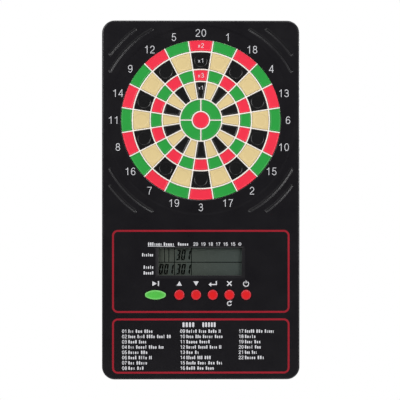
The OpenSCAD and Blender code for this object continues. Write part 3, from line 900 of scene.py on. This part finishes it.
def build_button(name, outline, flange, slot):
    """A cap with a rounded rim round a shallow dish; its flange and stem are behind the face."""
    s = Solid()
    x, z = node_middle(name)
    rear = BUTTON_FLANGE_OUT - BUTTON_FLANGE_T
    # The edge values along the rounded rim place the cap's painted rim sheen.
    profile = [(flange, rear), (flange, BUTTON_FLANGE_OUT), (0.0, BUTTON_FLANGE_OUT),
               (0.0, CAP_TOP - CAP_EDGE, 0.4)]
    for k in range(1, CAP_EDGE_STEPS + 1):
        t = math.pi / 2 * k / CAP_EDGE_STEPS
        profile.append((-CAP_EDGE * (1 - math.cos(t)), CAP_TOP - CAP_EDGE * (1 - math.sin(t)), 1.0))
    profile.append((-CAP_EDGE - CAP_RIM_FLAT, CAP_TOP, 0.8))
    rings = s.run(outline, profile)
    s.cap([rings[0]])
    last = rings[-1]
    rim = [s.points[i][:2] for i in last]
    # The painted rim sheen fades a little way into the dish.
    for share, drop in CAP_DISH:
        ring = s.ring([(x + (px - x) * share, z + (pz - z) * share) for px, pz in rim],
                      CAP_TOP - drop, max(0.0, (share - 0.8) * 3))
        s.wall(last, ring)
        last = ring
    s.fan(last, s.point(x, z, CAP_TOP - CAP_DISH[-1][1]))
    stem = [(-STEM_EDGE, STEM_TIP), (0.0, STEM_TIP + STEM_EDGE), (0.0, rear)]
    s.cap_ends(s.run(circle(x, z, STEM_R, 32), stem))
    piece(name.replace("button", "cap"), s, slot, name, [name])


def build_buttons():
    build_button("next_button", next_outline(), NEXT_FLANGE_W, "cap_green")
    for name in ROUND_BUTTONS:
        x, z = node_middle(name)
        build_button(name, circle(x, z, CAP_R, 56), CAP_FLANGE_W, "cap_red")


# ---------- display ----------

LCD_OUT = node_front("lcd_glass")
LCD_REAR = node_rear("lcd_glass")
GLASS_T = 1.1
GLASS_LEDGE_ABOVE = 0.3
GLASS_LEDGE_BELOW = 1.9
GLASS_EDGE = 0.1
PAD_GAP = 0.2
PAD_EDGE = 0.35


def build_display():
    """Two glass plates, the front one shorter so that the rear one's contacts are free, and the window."""
    s = Solid()
    lo, hi = node_box("lcd_glass")
    x, z = node_middle("lcd_glass")
    w, h = hi[0] - lo[0], hi[1] - lo[1]
    step = LCD_REAR + GLASS_T
    rear_glass = rounded_rect(x, z, w, h, 0.3, 2)
    front_glass = rounded_rect(x, z + (GLASS_LEDGE_BELOW - GLASS_LEDGE_ABOVE) / 2, w,
                               h - GLASS_LEDGE_BELOW - GLASS_LEDGE_ABOVE, 0.3, 2)
    plate(s, rear_glass, [], step, LCD_REAR, GLASS_EDGE, GLASS_EDGE, 2)
    plate(s, front_glass, [], LCD_OUT, step, GLASS_EDGE, GLASS_EDGE, 2)
    piece("lcd_cell", s, "lcd_panel", nodes=["lcd_glass"])

    s = Solid()
    pad = rounded_rect(WINDOW_X, WINDOW_Z, WINDOW_W - 2 * PAD_GAP, WINDOW_H - 2 * PAD_GAP, 0.9, 5)
    border = LENS_BORDER + PAD_GAP
    behind = [(0.0, INNER), (border, INNER), (border, lens_lo[2])]
    s.cap_ends(s.run(pad, edge(PAD_EDGE, lens_hi[2], 3) + behind))
    piece("display_window", s, "window_clear", nodes=["window_lens"])


# ---------- printing ----------


def ink(name, shapes, material, out=FACE, thickness=INK_T, body=CASE, slot=None):
    """Thin printed areas: each shape is a list of outlines whose union is filled."""
    s = Solid()
    for polygons in shapes:
        flat, edges, start = [], [], 0
        for polygon in polygons:
            flat += [Vector(p) for p in polygon]
            count = len(polygon)
            edges += [(start + k, start + (k + 1) % count) for k in range(count)]
            start += count
        points, _, triangles, _, _, _ = delaunay_2d_cdt(flat, edges, [], 0, 1e-5)
        middles = np.array([np.mean([points[v] for v in t], axis=0) for t in triangles])
        covered = np.zeros(len(triangles), bool)
        for polygon in polygons:
            covered |= inside(middles, polygon)
        kept = [t for t, keep in zip(triangles, covered) if keep]
        top = s.ring([tuple(p) for p in points], out + thickness)
        bottom = s.ring([tuple(p) for p in points], out)
        sides = {}
        for t in kept:
            s.faces.append(tuple(top[v] for v in t))
            s.faces.append(tuple(bottom[v] for v in reversed(t)))
            for k in range(3):
                a, b = t[k], t[(k + 1) % 3]
                if (b, a) in sides:
                    del sides[(b, a)]
                else:
                    sides[(a, b)] = True
        s.faces += [(top[b], top[a], bottom[a], bottom[b]) for a, b in sides]
    piece(name, s, slot or material, body, material=material, sharp_angle=30)


def stroke(points, width):
    """Outline of a line of even width along points."""
    line = [Vector(p) for p in points]
    left, right = [], []
    for i, p in enumerate(line):
        ahead = (line[min(i + 1, len(line) - 1)] - p).normalized()
        behind = (p - line[max(i - 1, 0)]).normalized()
        way = (ahead + behind).normalized()
        normal = Vector((-way.y, way.x)) * (width / 2)
        left.append(tuple(p + normal))
        right.append(tuple(p - normal))
    return left + right[::-1]


def curve(cx, cy, rx, ry, start, end, steps):
    """Arc whose angles are in degrees."""
    return arc(cx, cy, rx, ry, math.radians(start), math.radians(end), steps)


# Figures as lines along the middle of their strokes, in a box 1 high
FIGURE_STROKE = 0.083
FIGURE_ADVANCE = 0.77
FIGURE_W = 0.64
BASE = FIGURE_STROKE / 2
TOP = 1 - BASE
FIGURES = {
    "0": [curve(0.32, 0.5, 0.255, 0.5 - BASE, 90, 450, 40)],
    "1": [[(0.38, 0.0), (0.38, 1.0)], [(0.1, 0.76), (0.22, 0.775), (0.31, 0.83), (0.375, 0.96)]],
    "2": [curve(0.31, 0.7, 0.235, 0.3 - BASE, 178, -32, 20)
          + [(0.37, 0.42), (0.2, 0.27), (0.1, 0.16), (0.075, BASE)],
          [(0.03, BASE), (0.6, BASE)]],
    "3": [curve(0.3, 0.725, 0.215, 0.275 - BASE, 168, -90, 20),
          curve(0.305, 0.29, 0.25, 0.29 - BASE, 90, -168, 22),
          [(0.21, 0.516), (0.33, 0.516)]],
    "4": [[(0.47, 0.0), (0.47, 1.0)], [(0.44, 0.95), (0.06, 0.31)], [(0.0, 0.29), (0.62, 0.29)]],
    "5": [[(0.13, TOP), (0.57, TOP)], [(0.17, 0.97), (0.105, 0.47)],
          curve(0.305, 0.325, 0.25, 0.325 - BASE, 142, -165, 26)],
    "6": [curve(0.325, 0.315, 0.245, 0.315 - BASE, 90, 450, 34),
          curve(0.335, 0.5, 0.262, 0.5 - BASE, 40, 205, 24)],
    "7": [[(0.03, TOP), (0.6, TOP)], [(0.565, 0.92), (0.43, 0.7), (0.33, 0.47), (0.27, 0.22), (0.25, 0.0)]],
    "8": [curve(0.32, 0.74, 0.205, 0.26 - BASE, 90, 450, 32),
          curve(0.32, 0.285, 0.248, 0.285 - BASE, 90, 450, 34)],
    "x": [[(0.1, 0.06), (0.52, 0.62)], [(0.1, 0.62), (0.52, 0.06)]],
}
FIGURES["9"] = [[(FIGURE_W - x, 1 - z) for x, z in line] for line in FIGURES["6"]]


def figures(text, cx, cz, height, weight=FIGURE_STROKE):
    """Shapes of a row of figures, centred on cx and cz."""
    x = cx - ((len(text) - 1) * FIGURE_ADVANCE + FIGURE_W) * height / 2
    shapes = []
    for c in text:
        lines = [[(x + px * height, cz + (pz - 0.5) * height) for px, pz in line] for line in FIGURES[c]]
        shapes.append([stroke(line, weight * height) for line in lines])
        x += FIGURE_ADVANCE * height
    return shapes


BLOCK_PITCH = 0.62
BLOCK_SHORT = 0.72
BLOCK_WIDTHS = (0.34, 0.6, 0.6, 0.68)
CAPITAL_WIDTH = 0.64
BLOCK_SHIFT = 0.42


def word_blocks(x, z, width, height, capitals=False):
    """Stand-in for a printed word: a row of small upright blocks, x is its left end and z its middle."""
    count = max(2, round(width / (height * BLOCK_PITCH)))
    pitch = width / count
    shapes = []
    for i in range(count):
        capital = i == 0 or capitals
        tall = 1.0 if capital else rng.choice((BLOCK_SHORT, BLOCK_SHORT, BLOCK_SHORT, 1.0))
        w = pitch * (CAPITAL_WIDTH if capital else rng.choice(BLOCK_WIDTHS))
        middle_z = z + (tall - 1) * height / 2
        block = rounded_rect(x + (i + BLOCK_SHIFT) * pitch, middle_z, w, tall * height, w * 0.3, 2)
        shapes.append([block()])
    return shapes


def frame_line(cx, cz, w, h, r, line):
    """Shapes of a printed frame: a ring of four-sided strips."""
    outer = rounded_rect(cx, cz, w, h, r, 8)()
    inner = rounded_rect(cx, cz, w - 2 * line, h - 2 * line, r - line, 8)()
    count = len(outer)
    return [[[outer[k], outer[(k + 1) % count], inner[(k + 1) % count], inner[k]]] for k in range(count)]


def build_numbers():
    shapes = []
    for i, number in enumerate(SECTORS):
        a = cell_angle(i)
        shapes += figures(str(number), NUMBER_R * math.cos(a), NUMBER_R * math.sin(a), NUMBER_H)
    ink("sector_numbers", shapes, "ink_white", FACE - TARGET_STEP)


# What is printed on the segments of the 20 sector: text, ring, radius and height
MULTIPLIERS = (("x2", "double", 90.6, 5.4), ("x1", "outer_single", 72.4, 5.2),
               ("x3", "triple", 54.3, 5.4), ("x1", "inner_single", 39.6, 4.6))
MULTIPLIER_STROKE = 0.115


def build_multipliers():
    """The 20 sector carries its multipliers, printed on the floors of its dishes."""
    for text, ring_name, r, height in MULTIPLIERS:
        ink(f"multiplier_{ring_name}", figures(text, 0, r, height, MULTIPLIER_STROKE), "ink_white",
            SEGMENT_TOP - DISH_DEPTH, INK_T, "sector_20")


PANEL_W = 215.5
PANEL_LINE = 2.3
PANEL_R = 7.0
UPPER_PANEL = (-133.3, -234.0)
LOWER_PANEL = (-240.8, -307.7)


def build_frames():
    shapes = []
    for top, bottom in (UPPER_PANEL, LOWER_PANEL):
        shapes += frame_line(0, (top + bottom) / 2, PANEL_W, top - bottom, PANEL_R, PANEL_LINE)
    ink("panel_frames", shapes, "ink_red")


def triangle(cx, cz, size, turn):
    """Even triangle that points along turn, given in degrees."""
    return curve(cx, cz, size, size, turn, turn + 240, 2)


ICON_Z = -198.4
RESET_Z = -222.7
ICON_LINE = 1.1
ARROW_LINE = 1.3
CROSS_LINE = 1.4
# Signs above the buttons and the reset sign below the miss button: node, height, and outlines about the
# sign's own middle, which are filled as one
ICONS = (
    ("next_button", ICON_Z, [triangle(-1.9, 0, 3.5, 0)]),
    ("next_button", ICON_Z, [rounded_rect(3.7, 0, 1.4, 6.0, 0.2, 2)()]),
    ("up_button", ICON_Z, [triangle(0, -0.8, 3.7, 90)]),
    ("down_button", ICON_Z, [triangle(0, 0.8, 3.7, -90)]),
    ("enter_button", ICON_Z, [stroke([(4.4, 3.0), (4.4, -1.8)], ARROW_LINE),
                              stroke([(5.05, -1.2), (-2.1, -1.2)], ARROW_LINE),
                              [(-5.2, -1.2), (-1.8, 1.4), (-1.8, -3.8)]]),
    ("miss_button", ICON_Z, [stroke([(-2.7, -2.7), (2.7, 2.7)], CROSS_LINE),
                             stroke([(-2.7, 2.7), (2.7, -2.7)], CROSS_LINE)]),
    ("miss_button", RESET_Z, [stroke(curve(0, 0, 2.4, 2.4, 60, 345, 24), ICON_LINE),
                              [(0.2, 3.7), (3.3, 2.8), (1.4, 0.5)]]),
    ("power_button", ICON_Z, [stroke(curve(0, -0.4, 3.1, 3.1, 125, 415, 28), ICON_LINE),
                              stroke([(0, 3.5), (0, 0.2)], ICON_LINE)]),
)


def build_button_icons():
    shapes = []
    for node, z, outlines in ICONS:
        x, _ = node_middle(node)
        shapes.append([[(x + px, z + pz) for px, pz in outline] for outline in outlines])
    ink("button_icons", shapes, "ink_white")


LABEL_Z = -150.5
LABEL_H = 4.0
LABEL_PITCH = 9.05
LABEL_NUMBERS = (20, 19, 18, 17, 16, 15)
LABEL_NUMBERS_X = -6.3
SMALL_STROKE = 0.17
UNDERLINE_DROP = 2.8
UNDERLINE_W = 0.5
BULL_SIGN_X = 47.3
BULL_SIGN_R = 1.6
BULL_SIGN_LINE = 0.65
BULL_SIGN_EYE = 0.6
# Words round the display: left end, middle height and length; the first two share an underline
LABEL_WORDS = ((-64.3, LABEL_Z, 17.4), (-45.3, LABEL_Z, 13.4), (-28.1, LABEL_Z, 13.4),
               (-71.6, -163.5, 14.1), (-69.7, -178.5, 12.6), (-69.7, -185.4, 12.6))


def build_display_labels():
    shapes = []
    for x, z, length in LABEL_WORDS:
        shapes += word_blocks(x, z, length, LABEL_H)
    line_z = LABEL_Z - UNDERLINE_DROP
    underline = [(LABEL_WORDS[0][0], line_z), (LABEL_WORDS[1][0] + LABEL_WORDS[1][2], line_z)]
    shapes.append([stroke(underline, UNDERLINE_W)])
    for k, number in enumerate(LABEL_NUMBERS):
        x = LABEL_NUMBERS_X + LABEL_PITCH * k
        shapes += figures(str(number), x, LABEL_Z, LABEL_H, SMALL_STROKE)
    sign = curve(BULL_SIGN_X, LABEL_Z, BULL_SIGN_R, BULL_SIGN_R, 0, 360, 20)
    shapes += [[stroke(sign, BULL_SIGN_LINE)], [circle(BULL_SIGN_X, LABEL_Z, BULL_SIGN_EYE, 12)()]]
    ink("display_labels", shapes, "ink_white")


# The list of games, column by column: left end, and the length of each printed row
MENU_COLUMNS = (
    (-95.5, (41.2, 59.5, 33.4, 50.6, 32.9, 36.3, 33.4, 27.7)),
    (-25.0, (49.3, 51.8, 39.6, 50.2, 23.3, 38.4, 51.4, 45.2)),
    (46.1, (45.2, 24.4, 26.8, 28.0, 22.3, 31.3)),
)
MENU_TOP = -256.2
MENU_PITCH = 6.4
MENU_H = 4.1
MENU_NUMBER_X = 2.8
MENU_WORDS_X = 7.2
MENU_WORD = (6.5, 14.0)
MENU_WORD_GAP = 1.9
MENU_LEAST = 2.5
TITLE_Z = -248.4
TITLE_H = 5.8
TITLE_WORDS = ((-22.7, 15.7), (1.5, 17.2))


def build_menu():
    shapes = []
    number = 1
    for x, lengths in MENU_COLUMNS:
        for row, length in enumerate(lengths):
            z = MENU_TOP - row * MENU_PITCH
            shapes += figures(f"{number:02d}", x + MENU_NUMBER_X, z, MENU_H, SMALL_STROKE)
            left, end = x + MENU_WORDS_X, x + length
            while left < end - MENU_LEAST:
                width = min(rng.uniform(*MENU_WORD), end - left)
                shapes += word_blocks(left, z, width, MENU_H)
                left += width + MENU_WORD_GAP
            number += 1
    for x, length in TITLE_WORDS:
        shapes += word_blocks(x, TITLE_Z, length, TITLE_H, True)
    ink("game_list", shapes, "ink_white")


# Seven-segment figures of the display
SEGMENTS_LIT = {"0": "abcdef", "1": "bc", "3": "abcdg"}
LCD_LEAN = 0.14
LCD_DIGIT_W = 5.1
LCD_DIGIT_H = 12.9
LCD_BAR = 2.1
LCD_BAR_GAP = 0.18
LCD_PITCH = 6.15
LCD_TOP_Z = -163.9
LCD_LOW_Z = -181.2
LCD_ROWS = ((LCD_TOP_Z, -27.4, "301"), (LCD_LOW_Z, -48.3, "001"), (LCD_LOW_Z, -27.4, "301"))
LCD_LINE = 0.9
LCD_SPLIT_Z = -172.8
LCD_SHORT_LINES_X = (-44.2, -38.9)
LCD_LONG_LINES_X = (-32.1, -11.4)
LCD_PRINT_MARGIN = 0.5
LCD_INK_T = 0.03
LCD_UNLIT_T = 0.02


def lcd_digit(cx, cz, lit):
    """Slanted bars of one display figure."""
    w, h, t, g = LCD_DIGIT_W / 2, LCD_DIGIT_H / 2, LCD_BAR / 2, LCD_BAR_GAP
    bars = {
        "a": [(-w + g, h), (w - g, h), (w - 2 * t - g, h - 2 * t), (-w + 2 * t + g, h - 2 * t)],
        "d": [(-w + g, -h), (w - g, -h), (w - 2 * t - g, -h + 2 * t), (-w + 2 * t + g, -h + 2 * t)],
        "g": [(-w + t + g, 0), (-w + 2 * t + g, t), (w - 2 * t - g, t), (w - t - g, 0), (w - 2 * t - g, -t),
              (-w + 2 * t + g, -t)],
        "b": [(w, h - g), (w, g), (w - t, g / 2), (w - 2 * t, t + g / 2), (w - 2 * t, h - 2 * t - g)],
        "c": [(w, -h + g), (w, -g), (w - t, -g / 2), (w - 2 * t, -t - g / 2), (w - 2 * t, -h + 2 * t + g)],
    }
    bars["f"] = [(-x, z) for x, z in bars["b"]]
    bars["e"] = [(-x, z) for x, z in bars["c"]]
    return [[[(cx + x + z * LCD_LEAN, cz + z) for x, z in bars[k]]] for k in lit]


def build_lcd_figures():
    lit, unlit = [], []
    for z, x, text in LCD_ROWS:
        for k, c in enumerate(text):
            lit += lcd_digit(x + k * LCD_PITCH, z, SEGMENTS_LIT[c])
            unlit += lcd_digit(x + k * LCD_PITCH, z, [b for b in "abcdefg" if b not in SEGMENTS_LIT[c]])
    reach_x, reach_z = WINDOW_W / 2 + LCD_PRINT_MARGIN, WINDOW_H / 2 + LCD_PRINT_MARGIN
    lines = [[(WINDOW_X - reach_x, LCD_SPLIT_Z), (WINDOW_X + reach_x, LCD_SPLIT_Z)]]
    lines += [[(x, WINDOW_Z + reach_z), (x, LCD_SPLIT_Z)] for x in LCD_SHORT_LINES_X]
    lines += [[(x, WINDOW_Z + reach_z), (x, WINDOW_Z - reach_z)] for x in LCD_LONG_LINES_X]
    lit += [[stroke(line, LCD_LINE)] for line in lines]
    ink("lcd_figures", lit, "ink_black", LCD_OUT, LCD_INK_T)
    ink("lcd_unlit_figures", unlit, "ink_ghost", LCD_OUT, LCD_UNLIT_T, slot="lcd_panel")


# ---------- rear ----------

DOOR_GAP = 0.3
DOOR_T = 1.8
DOOR_EDGE = 0.35
LATCH_W = 14.0
LATCH_L = 9.0
LATCH_INSET = 1.6
SLIT_W = 0.8
SLIT_R = 0.39
RIDGE_W = LATCH_W - 4
RIDGE_INSET = 3.4
RIDGE_PITCH = 1.7
GRIP_W = 2.0
GRIP_H = 12.0
GRIP_PITCH = 5.5
SUNK_EDGE = [(0.15, 0.0), (0.0, 0.15, 0.5), (-0.15, 0.4)]
HOOK_X = 19.0
HOOK_W = 8.0
HOOK_H = 1.2
HOOK_TIP = 3.9
HOOK_INSET = 0.9
HOOK_SINK = 0.1


def build_battery_door():
    """Door with a latch tongue between two slits, sunk finger grips on its back, and two hinge hooks."""
    s = Solid()
    w, h = BAY_W - 2 * DOOR_GAP, BAY_H - 2 * DOOR_GAP
    top = BAY_Z + h / 2
    sides = (-1, 1)
    slit_z = top - LATCH_L / 2 - LATCH_INSET
    slits = [rounded_rect(side * LATCH_W / 2, slit_z, SLIT_W, LATCH_L - 1, SLIT_R, 4) for side in sides]
    ridge_z = [top - RIDGE_INSET - RIDGE_PITCH * k for k in range(3)]
    ridges = [rounded_rect(0, z, RIDGE_W, SLIT_W, SLIT_R, 4) for z in ridge_z]
    grips = [rounded_rect(k * GRIP_PITCH, BAY_Z, GRIP_W, GRIP_H, 0.9, 5) for k in (-1, 0, 1)]
    side_profile = [(grow, -out, worn_and_lit) for grow, out, worn_and_lit in edge(DOOR_EDGE, 0.0, 3)] + [(0.0, DOOR_T)]
    fronts, backs = [], []
    s.drill([(rounded_rect(0, BAY_Z, w, h, 0.8, 5), side_profile)], fronts, backs)
    s.drill([(slit, side_profile) for slit in slits], fronts, backs, -1)
    for outline in ridges + grips:
        s.sink(outline, SUNK_EDGE, fronts)
    s.cap(fronts)
    s.cap(backs)
    for side in sides:
        hook = rounded_rect(side * HOOK_X, BAY_Z - BAY_H / 2 + HOOK_INSET, HOOK_W, HOOK_H, 0.2, 2)
        s.cap_ends(s.run(hook, [(0.0, DOOR_T - HOOK_SINK), (0.0, HOOK_TIP)]))
    piece("battery_lid", s, "case_black", "battery_door", ["battery_door"])


def paint_cad_nodes():
    """Carried-over CAD nodes take their slot's material."""
    slots = {row["node"]: row["material_slot"] for row in frame["record"]["subparts"]}
    for name, node in frame["nodes"].items():
        node.data.materials.clear()
        node.data.materials.append(MATERIALS[slots[name]])


# ---------- floor, light and camera, in metres ----------

FLOOR_Z = -0.6
FLOOR_R = 1.3
FLOOR_FADE = (0.35, 0.95)
FLOOR_DARK = (0.8, 0.8, 0.8, 1)
FLOOR_PALE = (0.86, 0.86, 0.86, 1)


def build_stage():
    """A pale round floor well below the object, which fades out into the white surroundings."""
    bm = bmesh.new()
    bmesh.ops.create_grid(bm, x_segments=12, y_segments=12, size=FLOOR_R)
    bmesh.ops.translate(bm, verts=bm.verts, vec=(0, 0, FLOOR_Z))
    mesh = bpy.data.meshes.new("floor")
    bm.to_mesh(mesh)
    bm.free()
    material = bpy.data.materials.new("pale_floor")
    n = Nodes(material)
    shader = n.add("ShaderNodeBsdfDiffuse")
    n.link(n.mix(n.spread(n.noise(3.0), 0.0, 1.0), FLOOR_DARK, FLOOR_PALE), shader.inputs["Color"])
    coords = n.add("ShaderNodeTexCoord")
    radius = n.add("ShaderNodeVectorMath", operation="LENGTH")
    flat = n.add("ShaderNodeVectorMath", operation="MULTIPLY")
    flat.inputs[1].default_value = (1, 1, 0)
    n.link(coords.outputs["Object"], flat.inputs[0])
    n.link(flat.outputs["Vector"], radius.inputs[0])
    fade = n.spread(radius.outputs["Value"], 0.0, 1.0, FLOOR_FADE[0] * FLOOR_R, FLOOR_FADE[1] * FLOOR_R)
    n.blend(fade, shader, n.add("ShaderNodeBsdfTransparent"))
    mesh.materials.append(material)
    add_object("floor", mesh)


# Place, width and height, and power in watts; all face the middle of the case
SOFTBOXES = (
    ("key_light", (-1.6, -1.65, 0.9), (0.9, 1.4), 35.5),
    ("fill_light", (1.7, -1.5, 0.3), (0.9, 1.4), 25.5),
    ("top_light", (0.4, -1.1, 1.8), (1.6, 0.8), 20),
    ("rear_light", (1.1, 1.6, 0.3), (2.0, 0.6), 38),
)
SURROUND_SHADE = 0.06


def softbox(name, place, size, energy):
    light = bpy.data.lights.new(name, "AREA")
    light.shape = "RECTANGLE"
    light.size, light.size_y = size
    light.energy = energy
    obj = add_object(name, light)
    obj.location = place
    aim = Vector((0, 0, CASE_MID * MM))
    obj.rotation_euler = (aim - Vector(place)).to_track_quat("-Z", "Y").to_euler()
    obj.visible_camera = False


def build_light():
    """Softboxes, and surroundings that are white to the camera and dim to everything else."""
    for name, place, size, energy in SOFTBOXES:
        softbox(name, place, size, energy)
    world = bpy.data.worlds.new("studio")
    bpy.context.scene.world = world
    n = Nodes(world, "ShaderNodeOutputWorld")
    seen = n.add("ShaderNodeBackground")
    seen.inputs["Color"].default_value = (1, 1, 1, 1)
    dim = n.add("ShaderNodeBackground")
    dim.inputs["Color"].default_value = (SURROUND_SHADE, SURROUND_SHADE, SURROUND_SHADE, 1)
    n.blend(n.add("ShaderNodeLightPath").outputs["Is Camera Ray"], dim, seen)


VIEW_TURN = math.radians(-0.7)
VIEW_DISTANCE = 1.75
VIEW_HEIGHT = 0.4856
VIEW_SIDE = -0.00105


def build_camera():
    data = bpy.data.cameras.new("camera")
    camera = add_object("camera", data)
    aim = Vector((VIEW_SIDE, -FACE * MM, CASE_MID * MM))
    away = Vector((math.sin(VIEW_TURN), -math.cos(VIEW_TURN), 0))
    camera.location = aim + away * VIEW_DISTANCE
    camera.rotation_euler = (-away).to_track_quat("-Z", "Y").to_euler()
    data.sensor_width = 36
    data.lens = data.sensor_width * VIEW_DISTANCE / VIEW_HEIGHT
    data.clip_end = 50
    bpy.context.scene.camera = camera


paint_cad_nodes()
build_front_casing()
build_rear_casing()
build_grid()
for sector_index in range(len(SECTORS)):
    build_sector(sector_index)
build_bull()
build_buttons()
build_display()
build_numbers()
build_multipliers()
build_frames()
build_button_icons()
build_display_labels()
build_menu()
build_lcd_figures()
build_battery_door()
build_stage()
build_light()
build_camera()
bpy.context.scene.view_settings.view_transform = "Standard"
